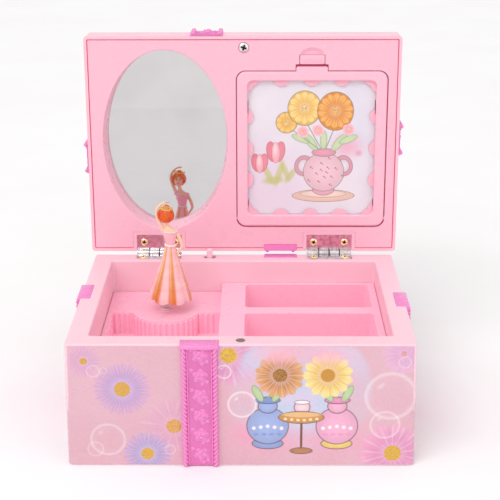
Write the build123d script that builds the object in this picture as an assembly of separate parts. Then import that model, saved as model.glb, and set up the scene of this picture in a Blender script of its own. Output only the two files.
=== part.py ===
from build123d import *
import math
import os

# Ballerina jewellery box. Millimetres, +Z up, front is -Y.
# The origin is the centre of the flat underside. The lid stands open.

# ---------------------------------------------------------------- base
BASE_W = 160.0
BASE_D = 113.0
BASE_H = 62.0
DRAFT = 1.1
TAPER = math.degrees(math.atan(DRAFT / BASE_H))
SLEEVE = 0.2
WALL = 2.0
RIM_T = 2.0
OPEN_W = 140.0
OPEN_FRONT = -47.0
OPEN_BACK = 46.5
SKIRT_T = 1.6
SKIRT_Z = 40.0

# ---------------------------------------------------------------- tray
TRAY_GAP = 0.35
TRAY_Z = 49.6
STAGE_Z = 44.4
LOW_Z = 33.0
PLATE = 1.6
DIVIDER_X = -11.2
STAGE_Y = 18.4
BUMP_Y = 5.9
LEDGE_X = -67.0
BIN_X0 = 1.2
BIN_X1 = 66.0
BIN_BACK = (13.5, 43.4)
BIN_FRONT = (-40.0, 5.8)
BIN_FLOOR = 18.0

# ---------------------------------------------------------------- bottom
FLOOR_T = 2.2
CORNER_R = 2.2
KEY_R = 15.0
KEY_DEEP = 13.0

# ---------------------------------------------------------------- lid
OPEN_DEG = 93.5
LID_OVER = 1.7
LID_LOW = 62.2
LID_H = 18.0
LID_DEPTH = 115.0
LID_WALL = 1.5
LID_TOP = 2.0
PANEL_Z = 62.7
PANEL_T = 1.8
LIP_GAP = 0.45
AXIS_Y = BASE_D / 2 + 0.5
AXIS_Z = BASE_H + 0.7
LID_BACK = AXIS_Y - 1.1
OVAL_X = -40.85
OVAL_H = 60.2
OVAL_RX = 32.7
OVAL_RH = 47.8
OVAL_DEEP = 12.5

# ---------------------------------------------------------------- hinges
HINGE_X = (-45.4, 46.1)
LEAF_W = 23.7
LEAF_T = 0.6
KNUCKLE_R = 1.9
PIN_R = 0.8
BORE_R = 0.85
SCREW_X = 8.3

# ---------------------------------------------------------------- photo door
DOOR_X0 = -3.3
DOOR_X1 = 75.0
DOOR_H0 = 13.8
DOOR_H1 = 97.0
DOOR_Z0 = 62.5
DOOR_Z1 = 66.7
DOOR_AXIS_H = 18.0
DOOR_AXIS_Z = 64.1
WIN_X0 = 2.4
WIN_X1 = 69.2
WIN_H0 = 20.0
WIN_H1 = 92.0

# ---------------------------------------------------------------- straps
STRAP_W = 16.4
TAB_W = 17.6
ROPE_R = 1.15
FRONT_STRAP_X = -18.7
BACK_STRAP_X = 19.9
LEFT_STRAP_Y = 4.6
RIGHT_STRAP_Y = -5.0

# ---------------------------------------------------------------- dancer and movement
SPINDLE = (-40.2, 22.6)
DRUM = (-28.25, 32.9)
DANCER_LEAN = 4.5
GEAR_M = 0.7
PLUNGER = (-18.1, 52.2)
PLUNGER_RISE = 5.0
CYL_Z = 25.2
CYL_Y = DRUM[1]

os.makedirs("parts", exist_ok=True)
nodes = {}


def block(x0, x1, y0, y1, z0, z1):
    centre = ((x0 + x1) / 2, (y0 + y1) / 2, (z0 + z1) / 2)
    return Pos(*centre) * Box(x1 - x0, y1 - y0, z1 - z0)


def slab(x0, x1, y0, y1, z0, z1, r):
    face = Pos((x0 + x1) / 2, (y0 + y1) / 2, z0) * RectangleRounded(x1 - x0, y1 - y0, r)
    return extrude(face, z1 - z0)


def rod(x, y, z0, z1, r):
    return Pos(x, y, (z0 + z1) / 2) * Cylinder(r, z1 - z0)


def rod_x(x0, x1, y, z, r):
    return Pos((x0 + x1) / 2, y, z) * Rot(0, 90, 0) * Cylinder(r, x1 - x0)


def round_off(shape, edges, r):
    edges = list(edges)
    if not edges:
        return shape
    return fillet(edges, r)


def opened(shape):
    axis = Axis((0, AXIS_Y, AXIS_Z), (-1, 0, 0))
    return shape.rotate(axis, OPEN_DEG)


def lid_y(h):
    return LID_BACK - h


def save(name, shape):
    nodes[name] = shape


def many(name, shapes):
    nodes[name] = Compound(children=list(shapes))


def tapered(inset, z0, z1, r):
    low = DRAFT * (BASE_H - z0) / BASE_H
    face = RectangleRounded(BASE_W + 2 * (low - inset), BASE_D + 2 * (low - inset), r)
    return extrude(Pos(0, 0, z0) * face, z1 - z0, taper=TAPER)


def gear(teeth, module, width, bore, fill=0.42):
    pitch_r = teeth * module / 2
    root = pitch_r - 1.25 * module
    tip = pitch_r + 0.85 * module
    step = 2 * math.pi / teeth
    corners = []
    for k in range(teeth):
        a = k * step
        for radius, part in ((root, -0.66), (pitch_r, -0.5), (tip, -0.26), (tip, 0.26), (pitch_r, 0.5), (root, 0.66)):
            b = a + part * fill * step
            corners.append((radius * math.cos(b), radius * math.sin(b)))
    body = extrude(make_face(Polyline(corners, close=True)), width)
    if bore > 0:
        body -= Pos(0, 0, width / 2) * Cylinder(bore, width * 3)
    return body


def wood_screw(head_r, head_h, shank_r, length):
    # point down, head top at z = 0
    head = Pos(0, 0, -head_h / 2) * Cone(shank_r, head_r, head_h)
    shank = Pos(0, 0, -(head_h + length) / 2 + 0.0) * Cylinder(shank_r, length - head_h)
    cross = Box(head_r * 1.2, 0.5, 0.7) + Box(0.5, head_r * 1.2, 0.7)
    return head + shank - cross


# ================================================================ base shell
outer = tapered(SLEEVE, 0, BASE_H, CORNER_R)
top_edges = outer.edges().filter_by_position(Axis.Z, BASE_H - 0.01, BASE_H + 0.01)
outer = fillet(top_edges, 0.6)
shell = outer - tapered(SLEEVE + WALL, -0.01, BASE_H - RIM_T, 1.6)
open_y = (OPEN_FRONT + OPEN_BACK) / 2
open_d = OPEN_BACK - OPEN_FRONT
skirt = slab(-OPEN_W / 2 - SKIRT_T, OPEN_W / 2 + SKIRT_T, OPEN_FRONT - SKIRT_T, OPEN_BACK + SKIRT_T,
             SKIRT_Z, BASE_H - RIM_T, 3.4)
shell = shell + skirt
corner_bosses = [(sx * 74.6, sy * 50.6) for sx in (-1, 1) for sy in (-1, 1)]
for bx, by in corner_bosses:
    shell = shell + rod(bx, by, FLOOR_T + 0.2, 24.0, 3.4)
    wall_x = math.copysign(79.6, bx)
    shell = shell + block(min(bx, wall_x), max(bx, wall_x), by - 0.8, by + 0.8, FLOOR_T + 0.2, 24.0)
for hx in HINGE_X:
    shell = shell + block(hx - 12.2, hx + 12.2, OPEN_BACK, BASE_D / 2 - SLEEVE - 1.0, 53.0, BASE_H - RIM_T)
opening = slab(-OPEN_W / 2, OPEN_W / 2, OPEN_FRONT, OPEN_BACK, SKIRT_Z - 1, BASE_H + 1, 1.8)
shell = shell - opening
rim_in = shell.edges().filter_by_position(Axis.Z, BASE_H - 0.01, BASE_H + 0.01)
rim_in = [e for e in rim_in if abs(e.center().X) <= OPEN_W / 2 + 0.01 and OPEN_FRONT - 0.01 <= e.center().Y <= OPEN_BACK + 0.01]
shell = fillet(rim_in, 0.7)
for bx, by in corner_bosses:
    shell = shell - rod(bx, by, 0, 14.0, 1.1)
# seats for the folded tabs of the straps
TAB_T = 0.8
TAB_IN = 5.0
shell = shell - block(FRONT_STRAP_X - TAB_W / 2 - 0.05, FRONT_STRAP_X + TAB_W / 2 + 0.05,
                      -60, -BASE_D / 2 + TAB_IN + 0.05, BASE_H - TAB_T, BASE_H + 1)
shell = shell - block(BACK_STRAP_X - TAB_W / 2 - 0.05, BACK_STRAP_X + TAB_W / 2 + 0.05,
                      BASE_D / 2 - TAB_IN - 0.05, 60, BASE_H - TAB_T, BASE_H + 1)
shell = shell - block(-85, -BASE_W / 2 + TAB_IN + 0.05, LEFT_STRAP_Y - TAB_W / 2 - 0.05,
                      LEFT_STRAP_Y + TAB_W / 2 + 0.05, BASE_H - TAB_T, BASE_H + 1)
shell = shell - block(BASE_W / 2 - TAB_IN - 0.05, 85, RIGHT_STRAP_Y - TAB_W / 2 - 0.05,
                      RIGHT_STRAP_Y + TAB_W / 2 + 0.05, BASE_H - TAB_T, BASE_H + 1)
# catch magnet seat and the guide hole of the stop plunger
shell = shell + rod(0, -51.9, 56.0, BASE_H - RIM_T, 3.2)
shell = shell - rod(0, -51.9, 57.9, BASE_H + 1, 2.2)
guide = Pos(PLUNGER[0], PLUNGER[1], BASE_H - RIM_T - 1) * SlotOverall(6.7, 3.6)
shell = shell - extrude(guide, 5)
# leaf screws of the hinges, and the hollow the barrel lies in
for hx in HINGE_X:
    shell = shell - rod_x(hx - 12.3, hx + 12.3, AXIS_Y, AXIS_Z, KNUCKLE_R + 0.15)
    for side in (-1, 1):
        shell = shell - rod(hx + side * SCREW_X, 51.2, 54.5, BASE_H + 1, 0.9)
save("base_shell", shell)

sleeve = tapered(0, 0.5, BASE_H - 1.0, CORNER_R + 0.2) - tapered(SLEEVE - 0.01, 0.4, BASE_H - 0.9, CORNER_R)
for hx in HINGE_X:
    sleeve = sleeve - rod_x(hx - 12.3, hx + 12.3, AXIS_Y, AXIS_Z, KNUCKLE_R + 0.15)
save("printed_sleeve", sleeve)

magnet = rod(0, -51.9, 58.0, BASE_H - 0.05, 2.1)
magnet = fillet(magnet.edges().filter_by_position(Axis.Z, 61.9, 62.0), 0.2)
save("catch_magnet", magnet)

# ================================================================ tray
tx0 = -OPEN_W / 2 + TRAY_GAP
tx1 = OPEN_W / 2 - TRAY_GAP
ty0 = OPEN_FRONT + TRAY_GAP
ty1 = OPEN_BACK - TRAY_GAP
right_land = slab(DIVIDER_X, tx1, ty0, ty1, TRAY_Z - PLATE, TRAY_Z, 1.0)
left_low = block(tx0, DIVIDER_X + 1.5, ty0, STAGE_Y + 1.4, LOW_Z - PLATE, LOW_Z)
divider = block(DIVIDER_X, DIVIDER_X + 1.5, ty0, ty1, LOW_Z - PLATE, TRAY_Z)
stage_outline = block(tx0, DIVIDER_X + 0.5, STAGE_Y, ty1, STAGE_Z - PLATE, STAGE_Z)
bump_r = 17.5
bump_cy = BUMP_Y + bump_r
bump_cx = SPINDLE[0] + 0.5
bump_disc = rod(bump_cx, bump_cy, STAGE_Z - PLATE, STAGE_Z, bump_r)
bump_disc = bump_disc - block(-80, 0, STAGE_Y + 3, 60, 30, 50)
stage = stage_outline + bump_disc
ledge = block(tx0, LEDGE_X, ty0, STAGE_Y + 1, STAGE_Z - PLATE, STAGE_Z)
ledge_wall = block(LEDGE_X - 1.3, LEDGE_X, ty0, STAGE_Y + 1, LOW_Z - PLATE, STAGE_Z)
front_wall = block(tx0, DIVIDER_X + 1, ty0, ty0 + 1.4, LOW_Z - PLATE, STAGE_Z)
# fluted riser below the stage edge
riser = block(LEDGE_X, DIVIDER_X + 0.5, STAGE_Y, STAGE_Y + 1.4, LOW_Z - PLATE, STAGE_Z)
bump_wall = rod(bump_cx, bump_cy, LOW_Z - PLATE, STAGE_Z, bump_r) - rod(bump_cx, bump_cy, 20, 60, bump_r - 1.4)
bump_wall = bump_wall - block(-80, 0, STAGE_Y + 0.5, 60, 20, 60)
bump_inner = rod(bump_cx, bump_cy, 20, STAGE_Z - PLATE, bump_r - 1.4) - block(-80, 0, STAGE_Y + 3, 60, 20, 60)
tray = right_land + left_low + divider + stage + ledge + ledge_wall + front_wall + riser + bump_wall
tray = tray - bump_inner
ribs = []
half = math.sqrt(bump_r ** 2 - (bump_cy - STAGE_Y) ** 2)
x = LEDGE_X + 1.6
while x < DIVIDER_X - 2.5:
    if abs(x - bump_cx) > half + 0.6:
        ribs.append(rod(x, STAGE_Y - 0.1, LOW_Z - 0.1, STAGE_Z - 0.7, 0.9))
    x += 2.9
for k in range(-6, 7):
    a = -math.pi / 2 + k * 0.165
    ribs.append(rod(bump_cx + (bump_r + 0.1) * math.cos(a), bump_cy + (bump_r + 0.1) * math.sin(a),
                    LOW_Z - 0.1, STAGE_Z - 0.7, 0.9))
for rib in ribs:
    tray = tray + rib
for y0, y1 in (BIN_BACK, BIN_FRONT):
    walls = slab(BIN_X0 - 1.4, BIN_X1 + 1.4, y0 - 1.4, y1 + 1.4, BIN_FLOOR - PLATE, TRAY_Z - 0.2, 3.4)
    tray = tray + walls
for y0, y1 in (BIN_BACK, BIN_FRONT):
    tray = tray - slab(BIN_X0, BIN_X1, y0, y1, BIN_FLOOR, TRAY_Z + 1, 2.0)
tray_bosses = [(-62.0, -38.0), (-18.0, -38.0), (33.0, 9.65), (-5.0, 38.0)]
for (bx, by), top in zip(tray_bosses, (LOW_Z - PLATE, LOW_Z - PLATE, TRAY_Z - PLATE, TRAY_Z - PLATE)):
    tray = tray + rod(bx, by, FLOOR_T, top, 2.6)
    tray = tray - rod(bx, by, FLOOR_T - 1, 14.0, 1.1)
tray = tray & slab(tx0, tx1, ty0, ty1, 0, TRAY_Z + 1, 1.6)
# bearing hole of the spindle and a raised ring round it
tray = tray + rod(SPINDLE[0], SPINDLE[1], STAGE_Z - 4.5, STAGE_Z + 0.5, 3.4)
tray = tray - rod(SPINDLE[0], SPINDLE[1], 30, 50, 1.55)
save("compartment_tray", tray)

# ================================================================ bottom plate
fx = BASE_W / 2 + DRAFT - SLEEVE - WALL - 0.2
fy = BASE_D / 2 + DRAFT - SLEEVE - WALL - 0.2
bottom = slab(-fx, fx, -fy, fy, 0, FLOOR_T, 1.8)
bottom = bottom + rod(DRUM[0], DRUM[1], 0, KEY_DEEP + 1.5, KEY_R + 1.5)
for px, py in ((-62.5, 24.0), (-62.5, 42.0)):
    bottom = bottom + rod(px, py, FLOOR_T, KEY_DEEP + 1.5, 3.0)
    bottom = bottom - rod(px, py, FLOOR_T + 2, KEY_DEEP + 2, 1.0)
for rx in (16.0, 50.0):
    for ry0, ry1 in ((-38.0, 4.0), (16.0, 41.0)):
        bottom = bottom + block(rx - 0.8, rx + 0.8, ry0, ry1, FLOOR_T, BIN_FLOOR - PLATE)
bottom = bottom - rod(DRUM[0], DRUM[1], -1, KEY_DEEP, KEY_R)
bottom = bottom - rod(DRUM[0], DRUM[1], 5, 20, 2.1)
bed_screw_at = [(-62.5, 24.0), (-62.5, 42.0), (-15.6, 23.5), (-15.6, 42.3)]
for px, py in bed_screw_at[2:]:
    bottom = bottom - rod(px, py, 9.0, 20, 1.0)
all_bottom_screws = corner_bosses + tray_bosses
for bx, by in all_bottom_screws:
    bottom = bottom - rod(bx, by, -1, 5, 1.35)
    bottom = bottom - Pos(bx, by, 0.6) * Cone(2.9, 1.4, 1.2)
lip = bottom.edges().filter_by_position(Axis.Z, -0.01, 0.01).filter_by(GeomType.CIRCLE)
lip = [e for e in lip if abs(e.radius - KEY_R) < 0.01]
bottom = fillet(lip, 0.8)
save("bottom_plate", bottom)

screw_shapes = []
for bx, by in all_bottom_screws:
    one = wood_screw(2.6, 1.2, 1.1, 10.5)
    screw_shapes.append(Pos(bx, by, 0.15) * Rot(180, 0, 0) * one)
many("bottom_screws", screw_shapes)


# ================================================================ straps
def strap_run(length, roses, skip=2.0):
    # lies in the XZ plane, outer face towards -Y, runs up from z = 0
    plate = block(-STRAP_W / 2, STRAP_W / 2, -1.0, 0, 0, length)
    body = plate
    for side in (-1, 1):
        body = body + rod(side * (STRAP_W / 2 - ROPE_R), -1.0, 0, length, ROPE_R)
    step = length / roses
    for k in range(roses):
        z = step * (k + 0.5)
        dome = Pos(0, -1.0, z) * Rot(90, 0, 0) * Cone(3.3, 1.9, 1.1)
        body = body + dome
    return body - block(-20, 20, 0, 5, -5, length + 5)


def base_strap(roses, top_trim):
    run_z0 = 0.4
    length = math.hypot(BASE_H - run_z0, DRAFT * (BASE_H - run_z0) / BASE_H)
    body = strap_run(length - top_trim, roses)
    lean = TAPER
    body = Rot(-lean, 0, 0) * body
    low = DRAFT * (BASE_H - run_z0) / BASE_H
    body = Pos(0, -low, run_z0) * body
    cap = block(-TAB_W / 2, TAB_W / 2, -1.0, TAB_IN, BASE_H - TAB_T, BASE_H)
    clear = DRAFT * (3.0 + top_trim) / BASE_H + 0.02
    neck = block(-STRAP_W / 2, STRAP_W / 2, -1.0, -clear, BASE_H - 3.0 - top_trim, BASE_H - TAB_T)
    return body + cap + neck


front = Pos(FRONT_STRAP_X, -BASE_D / 2 - 0.03, 0) * base_strap(6, 0.9)
save("strap_base_front", front)
back = Pos(BACK_STRAP_X, BASE_D / 2 + 0.03, 0) * Rot(0, 0, 180) * base_strap(6, 3.2)
save("strap_base_back", back)
left = Pos(-BASE_W / 2 - 0.03, LEFT_STRAP_Y, 0) * Rot(0, 0, -90) * base_strap(6, 0.9)
save("strap_base_left", left)
right = Pos(BASE_W / 2 + 0.03, RIGHT_STRAP_Y, 0) * Rot(0, 0, 90) * base_strap(6, 0.9)
save("strap_base_right", right)

LID_Z1 = LID_LOW + LID_H
RUN_IN = 15.0


def lid_strap(z_low, roses):
    side = Pos(0, 0, z_low) * strap_run(LID_Z1 - z_low, roses)
    over = strap_run(RUN_IN, 2)
    over = Pos(0, 0, LID_Z1) * Rot(-90, 0, 0) * over
    corner = rod_x(-STRAP_W / 2, STRAP_W / 2, 0, LID_Z1, 1.0)
    for s in (-1, 1):
        corner = corner + Pos(s * (STRAP_W / 2 - ROPE_R), 0, LID_Z1) * Rot(0, 90, 0) * Cylinder(1.0 + ROPE_R, 2 * ROPE_R * 0.98)
    corner = corner - block(-20, 20, 0, 5, LID_Z1 - 5, LID_Z1)
    return side + over + corner


lid_front_y = LID_BACK - LID_DEPTH
lid_strap_front = Pos(FRONT_STRAP_X, lid_front_y - 0.03, 0.03) * lid_strap(LID_LOW + 0.1, 2)
lid_strap_left = Pos(-BASE_W / 2 - LID_OVER - 0.03, LEFT_STRAP_Y, 0.03) * Rot(0, 0, -90) * lid_strap(LID_LOW + 0.1, 2)
lid_strap_right = Pos(BASE_W / 2 + LID_OVER + 0.03, RIGHT_STRAP_Y, 0.03) * Rot(0, 0, 90) * lid_strap(LID_LOW + 0.1, 2)
back_run = lid_strap(LID_LOW + 4.4, 2)
back_tab = block(-TAB_W / 2, TAB_W / 2, 0.05, 3.6, LID_LOW, LID_LOW + 0.8)
back_tab = back_tab + block(-TAB_W / 2, TAB_W / 2, 0.05, 0.85, LID_LOW, LID_LOW + 6.0)
back_tab = back_tab + block(-STRAP_W / 2, STRAP_W / 2, -0.5, 0.85, LID_LOW + 4.5, LID_LOW + 6.0)
lid_strap_back = Pos(BACK_STRAP_X, LID_BACK + 0.03, 0.03) * Rot(0, 0, 180) * (back_run + back_tab)
save("strap_lid_front", opened(lid_strap_front))
save("strap_lid_left", opened(lid_strap_left))
save("strap_lid_right", opened(lid_strap_right))
save("strap_lid_back", opened(lid_strap_back))

# ================================================================ lid shell
lx = BASE_W / 2 + LID_OVER
lid = slab(-lx, lx, lid_front_y, LID_BACK, LID_LOW, LID_Z1, 1.6)
lid = fillet(lid.edges().filter_by_position(Axis.Z, LID_Z1 - 0.01, LID_Z1 + 0.01), 0.9)
lid = lid - slab(-lx + LID_WALL, lx - LID_WALL, lid_front_y + LID_WALL, LID_BACK - LID_WALL,
                 LID_LOW - 1, LID_Z1 - LID_TOP, 0.7)
for hx in HINGE_X:
    lid = lid + block(hx - 14.0, hx + 14.0, lid_y(10.4), LID_BACK - 0.5, PANEL_Z, 71.0)
catch_x = 0.5
catch_y = lid_y(109.1)
lid = lid + rod(catch_x, catch_y, PANEL_Z + PANEL_T, LID_Z1 - 1, 3.0)
for px, py in ((-76, -50), (-76, 51), (76.5, -50), (76.5, 51), (-8, 50), (20, -50)):
    lid = lid + rod(px, py, PANEL_Z + PANEL_T, LID_Z1 - 1, 2.2)
for hx in HINGE_X:
    lid = lid - block(hx - 12.2, hx + 12.2, lid_y(9.0), 60, LID_LOW - 1, AXIS_Z + KNUCKLE_R)
    for side in (-1, 1):
        lid = lid - rod(hx + side * SCREW_X, lid_y(4.5), 60, 72.0, 0.9)
lid = lid - rod(catch_x, catch_y, PANEL_Z, 74.0, 1.3)
lid = lid - block(BACK_STRAP_X - TAB_W / 2 - 0.05, BACK_STRAP_X + TAB_W / 2 + 0.05, lid_y(0.95), 60,
                  LID_LOW - 1, LID_LOW + 6.1)
lid = lid - block(BACK_STRAP_X - TAB_W / 2 - 0.05, BACK_STRAP_X + TAB_W / 2 + 0.05, lid_y(1.6), 60,
                  LID_LOW - 1, LID_LOW + 0.86)
PRINT_IN = 9.0
lid = lid - slab(-lx + PRINT_IN, lx - PRINT_IN, lid_front_y + PRINT_IN, LID_BACK - PRINT_IN,
                 LID_Z1 - 0.25, LID_Z1 + 1, 6.0)
save("lid_shell", opened(lid))

film = slab(-lx + PRINT_IN + 0.05, lx - PRINT_IN - 0.05, lid_front_y + PRINT_IN + 0.05,
            LID_BACK - PRINT_IN - 0.05, LID_Z1 - 0.22, LID_Z1 - 0.02, 6.0)
save("lid_top_print", opened(film))

# ================================================================ lid inner panel
px0 = -lx + LID_WALL + LIP_GAP
px1 = lx - LID_WALL - LIP_GAP
py0 = lid_front_y + LID_WALL + LIP_GAP
py1 = LID_BACK - LID_WALL - LIP_GAP
panel = slab(px0, px1, py0, py1, PANEL_Z, PANEL_Z + PANEL_T, 0.6)
oval_y = lid_y(OVAL_H)
mirror_z = PANEL_Z + OVAL_DEEP


def oval(rx, ry, z0, z1, narrow):
    low = Pos(OVAL_X, oval_y, z0) * Ellipse(rx, ry)
    high = Pos(OVAL_X, oval_y, z1) * Ellipse(rx - narrow, ry - narrow)
    return loft([low, high])


cup = oval(OVAL_RX + 1.3, OVAL_RH + 1.3, PANEL_Z + 0.5, mirror_z + 2.2, 0.9)
panel = panel + cup
DOOR_GAP = 0.4
pocket_z = 68.2
TROUGH_Z = 69.6
panel = panel + slab(DOOR_X0 - DOOR_GAP - 1.4, DOOR_X1 + DOOR_GAP + 1.4, lid_y(DOOR_H1 + DOOR_GAP + 1.4),
                     lid_y(DOOR_H0 - 2.0), PANEL_Z + 0.3, pocket_z + 1.4, 6.0)
# a deeper trough where the foot of the door swings back
panel = panel + block(DOOR_X0 - DOOR_GAP - 1.4, DOOR_X1 + DOOR_GAP + 1.4, lid_y(22.2), lid_y(11.8),
                      PANEL_Z + 0.3, TROUGH_Z + 1.4)
panel = panel - block(DOOR_X0 - DOOR_GAP, DOOR_X1 + DOOR_GAP, lid_y(20.8), lid_y(DOOR_H0 - 0.6),
                      pocket_z - 0.5, TROUGH_Z)
panel = panel - oval(OVAL_RX, OVAL_RH, PANEL_Z - 0.01, mirror_z, 0.9)
panel = panel - oval(OVAL_RX - 0.2, OVAL_RH - 0.2, mirror_z - 0.01, mirror_z + 3, 0.0)
panel = panel - slab(DOOR_X0 - DOOR_GAP, DOOR_X1 + DOOR_GAP, lid_y(DOOR_H1 + DOOR_GAP),
                     lid_y(DOOR_H0 - 0.6), PANEL_Z - 1, pocket_z, 5.0)
TAB_X0 = 27.6
TAB_X1 = 43.8
panel = panel - block(TAB_X0 - 0.4, TAB_X1 + 0.4, lid_y(100.6), lid_y(96.0), PANEL_Z - 1, pocket_z - 3.0)
# latch slot with the thumb scoop above it
LATCH = (29.5, 42.1, 100.7, 105.4)
panel = panel - block(LATCH[0] - 0.4, LATCH[1] + 0.4, lid_y(LATCH[3]), lid_y(100.0), PANEL_Z - 1, PANEL_Z + PANEL_T + 3)
for hx in HINGE_X:
    panel = panel - block(hx - 14.1, hx + 14.1, lid_y(10.5), 60, PANEL_Z - 1, 71.0)
panel = panel - block(BACK_STRAP_X - TAB_W / 2 - 0.1, BACK_STRAP_X + TAB_W / 2 + 0.1, lid_y(3.75), 60,
                      LID_LOW - 1, LID_LOW + 0.9)
panel = panel - rod(catch_x, catch_y, PANEL_Z - 1, PANEL_Z + 4, 1.6)
panel = panel - rod(catch_x, catch_y, PANEL_Z - 1, PANEL_Z + 0.55, 2.9)
mouth = [e for e in panel.edges().filter_by_position(Axis.Z, PANEL_Z - 0.02, PANEL_Z + 0.02)
         if e.geom_type in (GeomType.ELLIPSE, GeomType.BSPLINE)]
panel = round_off(panel, mouth, 0.6)
hollow = Pos((LATCH[0] + LATCH[1]) / 2, lid_y(LATCH[3] - 0.3), PANEL_Z)
scoop = [hollow * Pos(0, 0, -0.1) * Ellipse(6.7, 4.3), hollow * Pos(0, 0, 1.3) * Ellipse(4.4, 2.2)]
panel = panel - loft(scoop)
panel = panel - rod_x(DOOR_X0 - 3.0, DOOR_X1 + 3.0, lid_y(DOOR_AXIS_H), DOOR_AXIS_Z, 0.96)
save("lid_inner_panel", opened(panel))

glass = extrude(Pos(OVAL_X, oval_y, mirror_z + 0.02) * Ellipse(OVAL_RX - 0.9 - 0.1 + 0.65, OVAL_RH - 0.9 - 0.1 + 0.65), 1.4)
save("mirror", opened(glass))

# ================================================================ catch screw
pan = Pos(0, 0, 0.55) * Cylinder(2.7, 1.1)
pan = fillet(pan.edges().filter_by_position(Axis.Z, 1.09, 1.11), 0.5)
pan = pan + Pos(0, 0, -4.5) * Cylinder(1.25, 9.0)
pan = pan - Pos(0, 0, 1.1) * (Box(3.2, 0.6, 1.2) + Box(0.6, 3.2, 1.2))
catch = Pos(catch_x, catch_y, PANEL_Z + 0.55) * Rot(180, 0, 0) * pan
save("catch_screw", opened(catch))

# ================================================================ hinges
BARREL_Y = AXIS_Y
outer_len = 6.2


def knuckle(x0, x1, bore):
    return rod_x(x0, x1, BARREL_Y, AXIS_Z, KNUCKLE_R) - rod_x(x0 - 1, x1 + 1, BARREL_Y, AXIS_Z, bore)


def flat_leaf(hx, y0, z0, z1, hole_y, head_up):
    plate = slab(hx - LEAF_W / 2, hx + LEAF_W / 2, y0, BARREL_Y, z0, z1, 0.8)
    for side in (-1, 1):
        x = hx + side * SCREW_X
        plate = plate - rod(x, hole_y, z0 - 1, z1 + 1, 0.95)
        turn = 0 if head_up else 180
        plate = plate - Pos(x, hole_y, (z0 + z1) / 2) * Rot(turn, 0, 0) * Cone(0.95, 1.75, LEAF_T)
    return plate


def screw_pair(hx, y, z, head_up):
    shapes = []
    for side in (-1, 1):
        one = wood_screw(1.65, 0.55, 0.85, 6.0)
        turn = 0 if head_up else 180
        shapes.append(Pos(hx + side * SCREW_X, y, z) * Rot(turn, 0, 0) * one)
    return shapes


base_leaves = []
lid_leaves = []
pins = []
base_screws = []
lid_screws = []
for hx in HINGE_X:
    x0 = hx - LEAF_W / 2
    x1 = hx + LEAF_W / 2
    low = flat_leaf(hx, 48.8, BASE_H + 0.01, BASE_H + LEAF_T, 51.2, True)
    low = low - rod_x(x0 + outer_len, x1 - outer_len, BARREL_Y, AXIS_Z, KNUCKLE_R + 0.3)
    low = low - block(x0 + outer_len, x1 - outer_len, BARREL_Y - 1.8, BARREL_Y + 3, BASE_H - 1, BASE_H + 2)
    low = low + knuckle(x0, x0 + outer_len, PIN_R) + knuckle(x1 - outer_len, x1, PIN_R)
    low = low - rod_x(x0 - 1, x1 + 1, BARREL_Y, AXIS_Z, PIN_R)
    base_leaves.append(low)
    z1 = AXIS_Z + KNUCKLE_R
    high = flat_leaf(hx, lid_y(8.6), z1 - LEAF_T, z1 - 0.01, lid_y(4.5), False)
    for a, b in ((x0 - 1, x0 + outer_len + 0.1), (x1 - outer_len - 0.1, x1 + 1)):
        high = high - rod_x(a, b, BARREL_Y, AXIS_Z, KNUCKLE_R + 0.3)
        high = high - block(a, b, BARREL_Y - 1.8, BARREL_Y + 3, AXIS_Z, AXIS_Z + 3)
    mid = knuckle(x0 + outer_len + 0.25, x1 - outer_len - 0.25, BORE_R)
    seam = rod_x(hx - 0.2, hx + 0.2, BARREL_Y, AXIS_Z, 2.5) - rod_x(hx - 1, hx + 1, BARREL_Y, AXIS_Z, KNUCKLE_R - 0.35)
    high = high + mid - seam
    high = high - rod_x(x0 - 1, x1 + 1, BARREL_Y, AXIS_Z, BORE_R)
    lid_leaves.append(opened(high))
    pin = rod_x(x0 - 0.2, x1 + 0.2, BARREL_Y, AXIS_Z, PIN_R - 0.005)
    pins.append(pin)
    base_screws += screw_pair(hx, 51.2, BASE_H + LEAF_T + 0.12, True)
    lid_screws += [opened(s) for s in screw_pair(hx, lid_y(4.5), z1 - LEAF_T - 0.12, False)]
save("hinge_left_base_leaf", base_leaves[0])
save("hinge_right_base_leaf", base_leaves[1])
save("hinge_left_lid_leaf", lid_leaves[0])
save("hinge_right_lid_leaf", lid_leaves[1])
many("hinge_pins", pins)
many("hinge_screws_base", base_screws)
many("hinge_screws_lid", lid_screws)

# ================================================================ photo door
frame = slab(DOOR_X0, DOOR_X1, lid_y(DOOR_H1), lid_y(DOOR_H0), DOOR_Z0, DOOR_Z1, 4.8)
foot = frame.edges().filter_by(Axis.X).filter_by_position(Axis.Z, DOOR_Z0 - 0.01, DOOR_Z0 + 0.01)
foot = [e for e in foot if e.center().Y > lid_y(DOOR_H0 + 1)]
frame = round_off(frame, foot, 1.2)
frame = frame - slab(DOOR_X0 + 1.6, DOOR_X1 - 1.6, lid_y(DOOR_H1 - 1.6), lid_y(DOOR_H0 + 3.2), DOOR_Z0 + 1.8, DOOR_Z1 + 1, 3.4)
frame = frame - slab(WIN_X0, WIN_X1, lid_y(WIN_H1), lid_y(WIN_H0), DOOR_Z0 - 1, DOOR_Z1, 3.0)
bevel = [e for e in frame.edges().filter_by_position(Axis.Z, DOOR_Z0 - 0.01, DOOR_Z0 + 0.01)
         if WIN_X0 - 0.1 <= e.center().X <= WIN_X1 + 0.1 and lid_y(WIN_H1) - 0.1 <= e.center().Y <= lid_y(WIN_H0) + 0.1]
frame = round_off(frame, bevel, 0.8)
frame = frame + slab(TAB_X0, TAB_X1, lid_y(99.4), lid_y(DOOR_H1 - 2), DOOR_Z0, DOOR_Z0 + 1.5, 0.8)
for x0, x1 in ((DOOR_X0 + 1.5, DOOR_X0 + 3.2), (DOOR_X1 - 3.2, DOOR_X1 - 1.5)):
    for h in (32.0, 78.0):
        frame = frame + block(x0, x1, lid_y(h + 3), lid_y(h - 3), 66.2, DOOR_Z1)
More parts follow.
